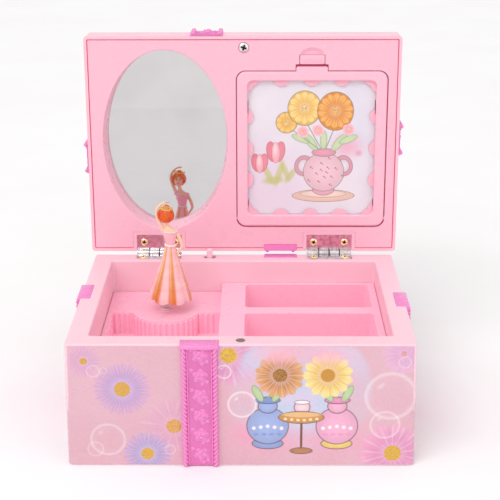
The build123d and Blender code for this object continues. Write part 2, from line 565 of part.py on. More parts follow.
frame = frame + rod_x(DOOR_X0 - DOOR_GAP - 1.2, DOOR_X0 + 1, lid_y(DOOR_AXIS_H), DOOR_AXIS_Z, 0.9)
frame = frame + rod_x(DOOR_X1 - 1, DOOR_X1 + DOOR_GAP + 1.2, lid_y(DOOR_AXIS_H), DOOR_AXIS_Z, 0.9)
save("photo_door", opened(frame))

sheet_x0 = DOOR_X0 + 1.7
sheet_x1 = DOOR_X1 - 1.7
sheet_y0 = lid_y(DOOR_H1 - 1.7)
sheet_y1 = lid_y(DOOR_H0 + 3.3)
mat = slab(sheet_x0, sheet_x1, sheet_y0, sheet_y1, DOOR_Z0 + 1.82, DOOR_Z0 + 2.6, 3.2)
win_w = WIN_X1 - WIN_X0
win_d = WIN_H1 - WIN_H0
cut = slab(WIN_X0, WIN_X1, lid_y(WIN_H1), lid_y(WIN_H0), DOOR_Z0 + 1, DOOR_Z0 + 4, 3.0)
mat = mat - cut
LOBE_R = 4.6
LOBE_OUT = 1.7
steps = 4
for k in range(steps + 1):
    x = WIN_X0 + 2.0 + (win_w - 4.0) * k / steps
    for h in (WIN_H0 - LOBE_OUT, WIN_H1 + LOBE_OUT):
        mat = mat + rod(x, lid_y(h), DOOR_Z0 + 1.82, DOOR_Z0 + 2.6, LOBE_R)
    h = WIN_H0 + 2.0 + (win_d - 4.0) * k / steps
    for x in (WIN_X0 - LOBE_OUT, WIN_X1 + LOBE_OUT):
        mat = mat + rod(x, lid_y(h), DOOR_Z0 + 1.82, DOOR_Z0 + 2.6, LOBE_R)
mat = mat & slab(sheet_x0, sheet_x1, sheet_y0, sheet_y1, DOOR_Z0 + 1, DOOR_Z0 + 4, 3.2)
card = slab(sheet_x0 + 0.1, sheet_x1 - 0.1, sheet_y0 + 0.1, sheet_y1 - 0.1, DOOR_Z0 + 3.12, DOOR_Z0 + 3.6, 3.0)
for x0, x1 in ((WIN_X0 - 0.7, WIN_X0 + 0.35), (WIN_X1 - 0.35, WIN_X1 + 0.7)):
    for h0, h1 in ((74.5, 81.5), (24.5, 28.0)):
        notch = block(x0, x1, lid_y(h1), lid_y(h0), DOOR_Z0 + 1, DOOR_Z0 + 3.9)
        mat = mat - notch
        card = card - notch
save("photo_border", opened(mat))
save("photo_window", opened(slab(sheet_x0, sheet_x1, sheet_y0, sheet_y1, DOOR_Z0 + 2.62, DOOR_Z0 + 3.1, 3.2)))
save("photo_card", opened(card))

latch = slab(LATCH[0], LATCH[1], lid_y(LATCH[3] - 0.1), lid_y(LATCH[2]), PANEL_Z, PANEL_Z + 1.4, 0.5)
grips = [block(LATCH[0] + 1.2, LATCH[1] - 1.2, lid_y(h + 0.25), lid_y(h - 0.25), PANEL_Z - 0.25, PANEL_Z + 0.5) for h in (102.0, 103.0)]
for g in grips:
    latch = latch + g
save("door_latch", opened(latch))

# ================================================================ stop plunger
ppx, ppy = PLUNGER
tip_z = BASE_H + PLUNGER_RISE
plunger = rod(ppx, ppy, 24.0, tip_z, 1.55)
plunger = fillet(plunger.edges().filter_by_position(Axis.Z, tip_z - 0.01, tip_z + 0.01), 1.3)
plunger = plunger + rod(ppx, ppy, 57.4, 59.2, 1.9)
plunger = plunger + block(ppx - 1.2, ppx + 1.2, ppy - 8.5, ppy, 24.0, 26.0)
save("stop_plunger", plunger)
coil_z0 = 30.0
spring_path = Helix(pitch=2.6, height=26.0, radius=1.85, center=(ppx, ppy, coil_z0))
wire = Plane(origin=spring_path @ 0, z_dir=spring_path % 0) * Circle(0.2)
save("plunger_spring", sweep(wire, path=spring_path, is_frenet=True))
seat = block(ppx - 3.2, ppx + 3.2, OPEN_BACK + SKIRT_T + 0.02, 54.6, coil_z0 - 1.9, coil_z0 - 0.5)
seat = seat - rod(ppx, ppy, 20, 40, 1.75)
seat = seat + block(ppx - 3.2, ppx + 3.2, OPEN_BACK - 1.2, OPEN_BACK + SKIRT_T + 0.2, coil_z0 - 1.9, coil_z0 - 0.5)
seat = seat + block(ppx - 3.2, ppx + 3.2, OPEN_BACK - 1.2, OPEN_BACK - 0.4, 14.52, coil_z0 - 0.5)
seat = seat - block(ppx - 1.6, ppx + 1.6, OPEN_BACK - 2, OPEN_BACK + 2, 18.0, 27.0)

# ================================================================ movement
dx, dy = DRUM
bed = slab(-66.0, -12.6, 20.4, 45.7, KEY_DEEP + 1.52, KEY_DEEP + 3.5, 2.0)
bed = bed + seat + block(ppx - 3.2, ppx + 3.2, 45.0, OPEN_BACK - 0.4, KEY_DEEP + 1.52, KEY_DEEP + 3.5)
bed_top = KEY_DEEP + 3.5
bed = bed - rod(dx, dy, 5, 30, 2.1)
for px, py in bed_screw_at:
    bed = bed - rod(px, py, 5, 30, 1.2)
post_r = 2.3
bed = bed + rod(SPINDLE[0], SPINDLE[1], bed_top - 0.5, bed_top + 1.5, post_r)
bed = bed - rod(SPINDLE[0], SPINDLE[1], 5, 40, 1.55)
# bearing cheeks of the cylinder
for x0 in (-65.6, -43.6):
    cheek = block(x0, x0 + 1.4, CYL_Y - 3.2, CYL_Y + 3.2, bed_top - 0.5, CYL_Z + 3.0)
    cheek = cheek - rod_x(x0 - 1, x0 + 3, CYL_Y, CYL_Z, 1.06)
    bed = bed + cheek
bed = bed + block(-60.5, -46.5, 20.6, 23.4, bed_top - 0.5, CYL_Z - 0.5)
bed = bed - rod(-57.5, 22.0, bed_top + 1, 40, 0.85) - rod(-49.5, 22.0, bed_top + 1, 40, 0.85)
save("movement_bedplate", bed)

bed_screws = []
for px, py in bed_screw_at:
    one = Pos(0, 0, 0.5) * Cylinder(1.9, 1.0) + Pos(0, 0, -2.2) * Cylinder(0.95, 4.4)
    one = one - Pos(0, 0, 1.0) * Box(4, 0.5, 0.8)
    bed_screws.append(Pos(px, py, bed_top + 0.01) * one)
many("movement_screws", bed_screws)

crown_r = 12.2
crown_teeth = 36
crown_z = bed_top + 0.5
drum = rod(dx, dy, crown_z, crown_z + 1.2, 13.2)
for k in range(crown_teeth):
    a = 360.0 * k / crown_teeth
    tooth = extrude(Pos(crown_r, 0, 0) * Rot(0, 0, 0) * Trapezoid(1.0, 0.6, 90), 0.1)
    tooth = Pos(crown_r, 0, 0.65) * Box(1.5, 0.62, 1.3)
    drum = drum + Pos(dx, dy, crown_z + 1.1) * Rot(0, 0, a) * tooth
drum = drum + rod(dx, dy, crown_z + 1.0, 30.0, 10.4)
drum = drum - rod(dx, dy, crown_z + 1.2, 29.0, 9.6)
drum = drum - rod(dx, dy, 10, 40, 2.06)
ring = Pos(dx, dy, 30.0) * Rot(0, 0, 6) * gear(30, GEAR_M, 2.4, 2.06)
drum = drum + ring
save("spring_drum", drum)

strip = []
turns = 5
for k in range(turns):
    r = 3.6 + k * 1.25
    strip.append((rod(dx, dy, 19.0, 28.2, r + 0.2) - rod(dx, dy, 10, 40, r - 0.2)))
spiral = strip[0]
for s in strip[1:]:
    spiral = spiral + s
spiral = spiral + block(dx + 3.5, dx + 8.7, dy - 0.2, dy + 0.2, 19.0, 28.2)
save("mainspring", spiral)

arbor = rod(dx, dy, 8.5, 33.2, 2.0)
arbor = arbor + rod(dx, dy, 19.2, 28.4, 2.9)
save("winding_arbor", arbor)
key = rod(dx, dy, 1.6, 8.45, 2.6)
wing = block(dx - 12.2, dx + 12.2, dy - 0.9, dy + 0.9, 1.6, 9.0)
wing = fillet(wing.edges().filter_by(Axis.Y), 3.0)
for s in (-1, 1):
    wing = wing - Pos(dx + s * 7.4, dy, 5.3) * Rot(90, 0, 0) * Cylinder(2.2, 6)
key = key + wing - rod(dx, dy, 8.45, 12, 3.2)
save("winding_key", key)

spin = rod(SPINDLE[0], SPINDLE[1], bed_top - 1.8, STAGE_Z + 1.2, 1.5)
spin = spin + rod(SPINDLE[0], SPINDLE[1], STAGE_Z + 0.55, STAGE_Z + 1.2, 2.4)
pinion = Pos(SPINDLE[0], SPINDLE[1], 30.2) * gear(15, GEAR_M, 2.0, 0)
aim = math.degrees(math.atan2(dy - SPINDLE[1], dx - SPINDLE[0]))
half_tooth = 180.0 / 15


def phase_for_mesh():
    # a tooth of the pinion points along the line of centres where the drum has a gap
    drum_step = 360.0 / 30
    line = aim + 180.0
    offset = (line - 6.0) % drum_step
    to_gap = offset - drum_step / 2
    return to_gap


pinion = Pos(SPINDLE[0], SPINDLE[1], 0) * Rot(0, 0, aim + phase_for_mesh() * 2.0) * Pos(-SPINDLE[0], -SPINDLE[1], 0) * pinion
spin = spin + pinion
save("output_spindle", spin)

cyl = rod_x(-63.6, -44.0, CYL_Y, CYL_Z, 6.0)
cyl = cyl + rod_x(-65.4, -39.9, CYL_Y, CYL_Z, 1.0)
for ix in range(9):
    x = -61.4 + ix * 1.9
    for k in range(7):
        a = math.radians(k * 51.4 + ix * 77.0)
        peg = Pos(x, CYL_Y + 6.1 * math.cos(a), CYL_Z + 6.1 * math.sin(a)) * Sphere(0.36)
        cyl = cyl + peg
cyl = cyl + rod_x(-42.0, -41.7, CYL_Y, CYL_Z, 1.8)
cog = gear(15, 2 * 12.2 / 36, 1.3, 0, 0.40)
cog = Pos(-41.7, CYL_Y, CYL_Z) * Rot(0, 90, 0) * cog
cyl = cyl + cog
wheel = gear(36, 0.36, 1.2, 0, 0.40)
save("note_cylinder", cyl)

comb = block(-62.4, -45.0, 20.9, 23.2, CYL_Z - 0.45, CYL_Z + 0.55)
teeth_n = 9
for ix in range(teeth_n):
    x = -61.4 + ix * 1.9
    comb = comb + block(x - 0.75, x + 0.75, 23.0, CYL_Y - 6.55, CYL_Z - 0.2, CYL_Z + 0.3)
comb = comb - rod(-57.5, 22.0, 20, 40, 0.9) - rod(-49.5, 22.0, 20, 40, 0.9)
save("comb", comb)
comb_screws = []
for x in (-57.5, -49.5):
    one = Pos(0, 0, 0.45) * Cylinder(1.2, 0.9) + Pos(0, 0, -2.0) * Cylinder(0.8, 4.0)
    one = one - Pos(0, 0, 0.9) * Box(3, 0.4, 0.6)
    comb_screws.append(Pos(x, 22.0, CYL_Z + 0.56) * one)
many("comb_screws", comb_screws)

# governor: worm spindle with a two-bladed fly beside the cylinder's left end
GOV = (-56.5, 42.6)
fly = rod(GOV[0], GOV[1], bed_top + 0.1, 34.5, 0.6)
fly = fly + rod(GOV[0], GOV[1], 20.0, 28.5, 1.2)
fly = fly + block(GOV[0] - 3.4, GOV[0] + 3.4, GOV[1] - 0.3, GOV[1] + 0.3, 29.5, 33.5)
save("governor_fly", fly)
gov_frame = block(GOV[0] - 2.2, GOV[0] + 2.2, GOV[1] - 1.4, GOV[1] + 1.4, 34.6, 35.8)
gov_frame = gov_frame + block(GOV[0] + 4.2, GOV[0] + 5.4, GOV[1] - 1.4, GOV[1] + 1.4, bed_top + 0.02, 35.8)
gov_frame = gov_frame + block(GOV[0] + 1.0, GOV[0] + 5.0, GOV[1] - 1.4, GOV[1] + 1.4, 34.6, 35.8)
gov_frame = gov_frame + block(GOV[0] + 4.2, GOV[0] + 9.0, GOV[1] - 1.4, GOV[1] + 1.4, bed_top + 0.02, bed_top + 1.2)
save("governor_frame", gov_frame)

# ================================================================ dancer
sx, sy = SPINDLE
foot_z = STAGE_Z + 1.22


def lean(shape):
    return Pos(sx, sy, foot_z) * Rot(0, DANCER_LEAN, 0) * shape


coil = Helix(pitch=0.95, height=11.2, radius=1.55, center=(0, 0, 0.35))
wire = Plane(origin=coil @ 0, z_dir=coil % 0) * Circle(0.27)
save("dancer_spring", lean(sweep(wire, path=coil, is_frenet=True)))


def wavy(z, radius, depth, cx, waves=8):
    points = []
    for k in range(waves * 8):
        a = 2 * math.pi * k / (waves * 8)
        r = radius + depth * math.cos(waves * a)
        points.append((cx + r * math.cos(a), r * math.sin(a)))
    return Pos(0, 0, z) * make_face(Spline(points, periodic=True))


def round_at(z, rx, ry, cx=0.0, cy=0.0):
    return Pos(cx, cy, z) * Ellipse(rx, ry)


hem = 6.2
gown = loft([wavy(hem, 10.9, 0.6, 2.1), wavy(14.0, 8.9, 0.55, 1.9), wavy(24.0, 5.5, 0.3, 1.5), wavy(34.6, 2.6, 0.08, 0.8)])
gown = gown - Pos(1.6, 0, hem + 4.4) * Cone(9.0, 3.4, 9.0)
gown = gown - Pos(0, 0, 9.0) * Cylinder(2.15, 8.0)
torso = loft([round_at(34.4, 2.6, 2.1, 0.8), round_at(37.5, 2.7, 2.2, 0.5), round_at(41.0, 3.5, 2.4, 0.1),
              round_at(43.6, 2.9, 1.7, -0.5), round_at(44.8, 1.3, 1.1, -1.0)])
neck = Pos(-1.5, 0, 46.0) * Rot(0, -18, 0) * Cylinder(1.05, 4.6)
head = Pos(-2.4, 0.2, 50.5) * Sphere(3.9)
bun = Pos(-2.0, -1.2, 54.2) * Sphere(2.1)


def limb(points, r):
    path = Spline([Vector(*p) for p in points])
    start = Plane(origin=path @ 0, z_dir=path % 0) * Circle(r)
    arm = sweep(start, path=path)
    for p in (points[0], points[-1]):
        arm = arm + Pos(*p) * Sphere(r * 1.05)
    return arm


raised = limb([(-3.0, 0, 42.8), (-6.6, -0.4, 47.6), (-7.0, -0.5, 52.6), (-3.4, -0.8, 57.6)], 0.9)
lowered = limb([(2.9, 0, 42.6), (5.6, -0.2, 39.0), (6.3, -0.5, 35.4), (4.4, -0.9, 31.2)], 0.9)
socket = Pos(0, 0, 12.4) * Cylinder(2.7, 6.0) - Pos(0, 0, 9.0) * Cylinder(2.15, 8.0)
post = Pos(0.8, 0, 17.5) * Cylinder(2.4, 7.0)
figure = gown + socket + post + torso + neck + head + bun + raised + lowered
save("dancer", lean(figure))

for name, shape in nodes.items():
    export_step(shape, f"parts/{name}.step")
    box = shape.bounding_box()
    print(name, round(shape.volume, 1), [round(v, 1) for v in (box.min.X, box.min.Y, box.min.Z, box.max.X, box.max.Y, box.max.Z)])
print(len(nodes), "nodes")
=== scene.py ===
from math import atan, atan2, copysign, cos, degrees, exp, hypot, pi, radians, sin, sqrt, tan

import bmesh
import bpy
import numpy as np
from mathutils import Matrix, Vector, noise


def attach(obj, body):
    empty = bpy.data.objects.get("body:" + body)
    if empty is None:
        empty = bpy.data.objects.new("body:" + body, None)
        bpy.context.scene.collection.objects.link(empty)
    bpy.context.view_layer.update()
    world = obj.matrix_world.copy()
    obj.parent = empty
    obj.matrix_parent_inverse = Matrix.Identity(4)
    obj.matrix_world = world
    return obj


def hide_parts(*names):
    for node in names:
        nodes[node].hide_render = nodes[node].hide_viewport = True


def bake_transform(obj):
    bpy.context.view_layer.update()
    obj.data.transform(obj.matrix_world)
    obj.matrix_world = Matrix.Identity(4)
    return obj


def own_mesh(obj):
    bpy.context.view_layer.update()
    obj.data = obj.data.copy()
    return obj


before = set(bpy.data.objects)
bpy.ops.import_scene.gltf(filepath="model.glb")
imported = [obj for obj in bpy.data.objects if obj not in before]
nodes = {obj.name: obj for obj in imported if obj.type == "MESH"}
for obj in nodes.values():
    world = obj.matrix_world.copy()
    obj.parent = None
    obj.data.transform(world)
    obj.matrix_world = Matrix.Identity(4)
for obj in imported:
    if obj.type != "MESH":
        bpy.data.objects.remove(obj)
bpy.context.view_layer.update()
scene = bpy.context.scene
MM = 0.001

# sizes repeated from the CAD, in mm
BASE_W, BASE_D, BASE_H, DRAFT = 160.0, 113.0, 62.0, 1.1
TAPER = atan(DRAFT / BASE_H)
AXIS_Y, AXIS_Z, OPEN_DEG = 57.0, 62.7, 93.5
LID_BACK, LID_DEPTH, LID_LOW, LID_H, LID_OVER = 55.9, 115.0, 62.2, 18.0, 1.7
PANEL_Z = 62.7
HINGE_X, SCREW_X, LEAF_W = (-45.4, 46.1), 8.3, 23.7
STAGE_Z = 44.4
SPINDLE = (-40.2, 22.6)
FOOT_Z = STAGE_Z + 1.22  # where the dancer's spring stands
DANCER_LEAN = 4.5
STRAP_W, TAB_W, ROPE_R, ROSE_PITCH = 16.4, 17.6, 1.15, 10.1
STRAP_AT = {"front": -18.7, "back": 19.9, "left": 4.6, "right": -5.0}
STRAP_TURN = {"front": 0, "back": 180, "left": -90, "right": 90}
PROUD = 0.03  # how far a strap stands off its wall
FAR = 999.0  # beyond any drawing

OPEN = (Matrix.Translation((0, AXIS_Y, AXIS_Z)) @ Matrix.Rotation(-radians(OPEN_DEG), 4, "X")
        @ Matrix.Translation((0, -AXIS_Y, -AXIS_Z)))


# ---------- colour and node helpers
def lin(hexa):
    out = []
    for i in (1, 3, 5):
        c = int(hexa[i:i + 2], 16) / 255
        out.append(c / 12.92 if c <= 0.04045 else ((c + 0.055) / 1.055) ** 2.4)
    return (*out, 1.0)


class Wire:
    """A socket that does arithmetic by adding Math nodes."""

    def __init__(self, tree, socket):
        self.tree, self.socket = tree, socket

    def op(self, kind, *others):
        node = self.tree.nodes.new("ShaderNodeMath")
        node.operation = kind
        for k, v in enumerate((self, *others)):
            plug(self.tree, v, node.inputs[k])
        return Wire(self.tree, node.outputs[0])

    def __add__(self, o): return self.op("ADD", o)
    def __sub__(self, o): return self.op("SUBTRACT", o)
    def __mul__(self, o): return self.op("MULTIPLY", o)
    def __truediv__(self, o): return self.op("DIVIDE", o)
    def __pow__(self, o): return self.op("POWER", o)
    def abs(self): return self.op("ABSOLUTE")
    def sin(self): return self.op("SINE")
    def cos(self): return self.op("COSINE")
    def sign(self): return self.op("SIGN")
    def min(self, o): return self.op("MINIMUM", o)


def plug(tree, value, socket):
    if isinstance(value, Wire):
        tree.links.new(value.socket, socket)
    elif isinstance(value, bpy.types.NodeSocket):
        tree.links.new(value, socket)
    else:
        socket.default_value = value


class Paint:
    """One material: a Principled shader and the helpers that draw on it."""

    def __init__(self, name, **settings):
        self.mat = bpy.data.materials.new(name)
        self.mat.use_nodes = True
        self.tree = self.mat.node_tree
        self.tree.nodes.clear()
        self.bsdf = self.node("BsdfPrincipled")
        self.node("OutputMaterial", self.bsdf.outputs[0])
        self.coords = None
        for key, value in settings.items():
            self.set(key.replace("_", " "), value)

    def set(self, socket, value):
        plug(self.tree, value, self.bsdf.inputs[socket])

    def node(self, kind, *values, **settings):
        """A new node: VALUES go into its first inputs, SETTINGS are its own properties."""
        n = self.tree.nodes.new("ShaderNode" + kind)
        for key, value in settings.items():
            setattr(n, key, value)
        for k, value in enumerate(values):
            plug(self.tree, value, n.inputs[k])
        return n

    def place(self):
        """Object coordinates in mm."""
        if self.coords is None:
            scale = self.node("VectorMath", self.node("TexCoord").outputs["Object"], operation="SCALE")
            scale.inputs["Scale"].default_value = 1000.0
            self.coords = scale.outputs[0]
        return self.coords

    def xyz(self):
        return [Wire(self.tree, s) for s in self.node("SeparateXYZ", self.place()).outputs]

    def vector(self, x, y):
        return self.node("CombineXYZ", x, y, 0.0).outputs[0]

    def ramp(self, value, low, high, a=0.0, b=1.0):
        n = self.node("MapRange", value, low, high, a, b, interpolation_type="SMOOTHSTEP", clamp=True)
        return Wire(self.tree, n.outputs[0])

    def mix(self, factor, under, over):
        n = self.node("Mix", factor, data_type="RGBA", blend_type="MIX", clamp_factor=True)
        for k, colour in ((6, under), (7, over)):
            plug(self.tree, lin(colour) if isinstance(colour, str) else colour, n.inputs[k])
        return n.outputs[2]

    def noise(self, scale, detail=3.0, rough=0.5, vector=None, distort=0.0):
        n = self.node("TexNoise", vector or self.place(), noise_dimensions="3D")
        for key, value in (("Scale", scale), ("Detail", detail), ("Roughness", rough), ("Distortion", distort)):
            n.inputs[key].default_value = value
        return Wire(self.tree, n.outputs[0])

    def bump(self, height, strength, distance, normal=None):
        n = self.node("Bump", strength, distance)
        plug(self.tree, height, n.inputs["Height"])
        if normal is not None:
            plug(self.tree, normal, n.inputs["Normal"])
        self.set("Normal", n.outputs[0])

    def cloudy(self, scale, low, high, a, b, detail=3.0, rough=0.6):
        """A ramp over plain noise."""
        return self.ramp(self.noise(scale, detail, rough), low, high, a, b)

    def soft(self, weight, *radius):
        self.set("Subsurface Weight", weight)
        self.set("Subsurface Radius", radius)

    def film_finish(self):
        """Gloss and ripple of a printed film."""
        self.set("Roughness", self.cloudy(0.25, 0.3, 0.7, 0.22, 0.34, 4.0))
        self.bump(self.noise(0.16, 3.0, 0.5) + self.noise(5.0, 2.0, 0.5) * 0.12, 0.10, 0.0002)
        self.set("Coat Weight", 0.25)
        self.set("Coat Roughness", 0.12)

    # drawing on a flat place P in mm: dot products keep the shader's working memory small
    def along(self, p, direction, offset):
        n = self.node("VectorMath", p, (*direction, 0), operation="DOT_PRODUCT")
        return Wire(self.tree, n.outputs["Value"]) - offset

    def local(self, p, at, size, turn=0.0):
        """P seen from AT, turned by TURN degrees and divided by SIZE: its two parts."""
        c, s = cos(radians(turn)), sin(radians(turn))
        x_way, y_way = (c / size[0], s / size[0]), (-s / size[1], c / size[1])
        return (self.along(p, x_way, x_way[0] * at[0] + x_way[1] * at[1]),
                self.along(p, y_way, y_way[0] * at[0] + y_way[1] * at[1]))

    def length(self, v):
        return v[1].op("MULTIPLY_ADD", v[1], v[0] * v[0]).op("SQRT")

    def disc(self, r, soft, strength=1.0):
        """STRENGTH where R is below 1, fading to 0 over SOFT to either side of it."""
        return self.ramp(r, 1.0 - soft, 1.0 + soft, strength, 0.0)

    def oval(self, p, under, colour, at, size, turn=0.0, soft=0.04, strength=1.0):
        r = self.length(self.local(p, at, size, turn))
        return self.mix(self.disc(r, soft, strength), under, colour)

    def outlined(self, p, under, colour, at, size, turn=0.0, line="#6B4A45", pen=0.45):
        soft = 0.25 / max(size)
        under = self.oval(p, under, line, at, (size[0] + pen, size[1] + pen), turn, soft, 0.85)
        r = self.length(self.local(p, at, size, turn))
        both = [(a + b) / 2 for a, b in zip(lin(colour), lin(line))]
        shade = self.mix(self.ramp(r, 0.2, 1.05, 0.0, 0.35), colour, tuple(both))
        return self.mix(self.disc(r, soft), under, shade)

    def stroke(self, p, under, colour, a, b, width, strength=1.0):
        mid = ((a[0] + b[0]) / 2, (a[1] + b[1]) / 2)
        half = hypot(b[0] - a[0], b[1] - a[1]) / 2
        turn = degrees(atan2(b[1] - a[1], b[0] - a[0]))
        x, y = self.local(p, mid, (half, width / 2), turn)
        d = x.abs() ** 6.0 + y * y
        return self.mix(self.ramp(d, 0.8, 1.25, strength, 0.0), under, colour)

    def daisy(self, p, under, at, radius, heart, petals, colour, tip, eye="#DDB054", strength=1.0, turn=0.0,
              wide=0.35, fade=0.0):
        v = self.local(p, at, (radius, radius), turn)
        r, angle = self.length(v), v[1].op("ARCTAN2", v[0])
        n = petals / 2.0
        strength *= 0.95
        # a paler row of petals behind, half a petal further round
        behind = (angle * n + 1.571).cos().abs()
        back = self.ramp(behind ** wide * 0.36 + 0.60 - r, -0.03, 0.05 + fade)
        both = [(a + 2 * b) / 3 for a, b in zip(lin(colour), lin(tip))]
        out = self.mix(back * (0.62 * strength), under, tuple(both))
        lobe = (angle * n).cos().abs()
        front = self.ramp(lobe ** wide * 0.42 + 0.62 - r, -0.03, 0.05 + fade)
        shade = self.mix(self.ramp(r, 0.25, 0.95), colour, tip)
        streak = (angle * (petals * 3.0)).cos() * 0.5 + (angle * (petals * 1.7) + r * 3.0).sin() * 0.5
        shade = self.mix(self.ramp(streak, -0.2, 1.0, 0.0, 0.24), shade, "#FFFFFF")
        shade = self.mix(self.ramp(lobe, 0.0, 0.55, 0.55, 0.0), shade, colour)
        out = self.mix(front * strength, out, shade)
        out = self.mix(self.ramp(r * radius, heart, heart * 2.0, 0.22 * strength, 0.0), out, "#FFE9F3")
        core = self.ramp(r * radius, heart - 0.25, heart + 0.25, 1.0, 0.0)
        return self.mix(core, out, self.mix(self.cloudy(1.6, 0.35, 0.7, 0.0, 1.0, 2.0, 0.7), eye, "#C98F2E"))

    def bubble(self, p, under, at, radius, strength=0.6, tint="#FFFFFF"):
        r = self.length(self.local(p, at, (radius, radius)))
        body = self.ramp(r, 0.5, 1.0, 0.0, 0.22 * strength) * self.ramp(r, 0.98, 1.03, 1.0, 0.0)
        out = self.mix(body, under, tint)
        rim = self.ramp((r - 0.93).abs(), 0.0, 0.12, strength, 0.0)
        out = self.mix(rim, out, tint)
        shine_at = (at[0] - radius * 0.38, at[1] + radius * 0.42)
        glint = self.length(self.local(p, shine_at, (radius * 0.26, radius * 0.13), 40))
        return self.mix(self.ramp(glint, 0.2, 1.0, strength * 0.9, 0.0), out, "#FFFFFF")

    def soft_heart(self, p, c, at, size):
        """A pale-blue cloud in the shape of a heart."""
        f = self.heart_shape(self.local(p, at, size))
        cloud = self.noise(0.09, 2.0, 0.5)
        fade = self.ramp(f + (cloud - 0.5) * 0.5, -0.5, 0.22, 0.95, 0.0)
        return self.mix(fade, c, self.mix(self.ramp(cloud, 0.35, 0.65), "#C3CFE6", "#D6CBE4"))

    def heart_shape(self, v):
        x, y = v
        f = x * x + y * y - 1.0
        return f * f * f - x * x * y * y * y


def new_object(name, data):
    obj = bpy.data.objects.new(name, data)
    scene.collection.objects.link(obj)
    return obj


def shade_smooth(mesh, angle):
    mesh.shade_smooth()
    bm = bmesh.new()
    bm.from_mesh(mesh)
    limit = radians(angle)
    for e in bm.edges:
        if len(e.link_faces) == 2 and e.calc_face_angle(0.0) > limit:
            e.smooth = False
    bm.to_mesh(mesh)
    bm.free()


def add_mesh(name, shape, paint, body, replaces=None, place=None, smooth=60.0):
    """A piece from SHAPE (vertices in mm, faces) that rides on BODY; edges over SMOOTH degrees stay sharp."""
    verts, faces = shape
    mesh = bpy.data.meshes.new(name)
    mesh.from_pydata([Vector(v) * MM for v in verts], [], faces)
    mesh.validate()
    obj = new_object(name, mesh)
    if place is not None:
        m = place.copy()
        m.translation *= MM
        mesh.transform(m)
    bm = bmesh.new()
    bm.from_mesh(mesh)
    bmesh.ops.recalc_face_normals(bm, faces=bm.faces)
    bm.to_mesh(mesh)
    bm.free()
    shade_smooth(mesh, smooth)
    mesh.materials.append(paint.mat)
    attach(obj, body)
    if replaces:
        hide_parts(replaces)
    return obj


def more_paints(obj, kinds, paints):
    """Gives OBJ further paints; KINDS says which one each face takes, 0 being the first it had."""
    for paint in paints:
        obj.data.materials.append(paint.mat)
    for face, kind in zip(obj.data.polygons, kinds):
        face.material_index = kind


# ---------- moulded plastics
def moulded(name, colour, deep, rough=0.33, sss=0.12, mottle=0.05, grain=0.07, tint="#FFFFFF", glow=None, lift=0.0,
            power=0.07, reach=0.004):
    """Injection-moulded plastic: soft light inside, a faint mottle and a fine even texture.
    GLOW is the colour of a painted glow: the plastic emits it where ambient occlusion finds narrow gaps between its
    walls, in place of light bounced there; LIFT is a painted glow all over, in place of light seeping through them."""
    m = Paint(name, IOR=1.46, Specular_IOR_Level=0.45)
    base = m.mix(m.cloudy(0.035, 0.35, 0.68, 0.0, mottle), colour, deep)
    m.set("Base Color", m.mix(m.cloudy(2.2, 0.45, 0.8, 0.0, mottle * 0.5, 2.0), base, tint))
    m.set("Roughness", m.cloudy(0.12, 0.3, 0.75, rough - 0.05, rough + 0.09, 4.0, 0.65))
    m.bump(m.noise(6.5, 2.0, 0.55) * 0.35 + m.noise(0.22, 2.0, 0.5) * 0.9, grain, 0.00012)
    m.soft(sss, 0.004, 0.0018, 0.0016)
    m.set("Subsurface Scale", 1.0)
    # painted light: the surface glows (emission) in narrow gaps found by ambient occlusion, and by LIFT everywhere
    if glow:
        ao = m.node("AmbientOcclusion", samples=8)
        ao.inputs["Distance"].default_value = reach
        gap_glow_mask = m.ramp(Wire(m.tree, ao.outputs["AO"]), 0.04, 0.42, 1.0, 0.0)
        m.set("Emission Color", m.mix(gap_glow_mask, "#FFCBF0", glow))
        m.set("Emission Strength", gap_glow_mask * (power - lift) + lift)
    return m


# colour of the painted glow in the gaps of the pink mouldings; the tray also has a little painted glow all over
GAP_GLOW = "#D21E4C"
shell_pink = moulded("shell_pink", "#FBD0DC", "#F7BFD0", rough=0.34)
tray_pink = moulded("tray_pink", "#FABACC", "#F5A6BE", rough=0.30, sss=0.16, glow="#F03C74", lift=0.095, power=0.16)
panel_pink = moulded("panel_pink", "#F5BCCD", "#F0ABC1", rough=0.30, glow=GAP_GLOW, lift=0.015)
lid_pink = moulded("lid_pink", "#F6C0D0", "#F1B0C4", glow=GAP_GLOW, lift=0.01, power=0.34, reach=0.02)
door_pink = moulded("door_pink", "#F9BFD0", "#F3ABC3", rough=0.24, sss=0.10, glow=GAP_GLOW, lift=0.01)
border_pink = moulded("border_pink", "#FABBCC", "#F6AABF", rough=0.22, sss=0.10)
strap_magenta = moulded("strap_magenta", "#F58ECB", "#EC78BE", rough=0.25, mottle=0.15, grain=0.25, tint="#FFB0E4")
strap_field = moulded("strap_field", "#E478B8", "#CC5AA0", rough=0.42, sss=0.06, mottle=0.5, grain=0.9, tint="#F49CD2")


# ---------- metals
def metal(name, colour, dark, rough, scratch, dirt, stretch=(1, 1, 1)):
    m = Paint(name, Metallic=1.0)
    m.set("Base Color", m.mix(m.cloudy(0.5, 0.35, 0.75, 0.0, dirt, 4.0), colour, dark))
    mapping = m.node("Mapping", m.place())
    mapping.inputs["Scale"].default_value = stretch
    lines = m.noise(3.0, 4.0, 0.7, vector=mapping.outputs[0])
    m.set("Roughness", m.ramp(lines, 0.3, 0.75, rough * 0.7, rough * 1.5))
    m.bump(lines, scratch * 0.3, 0.00003)
    return m


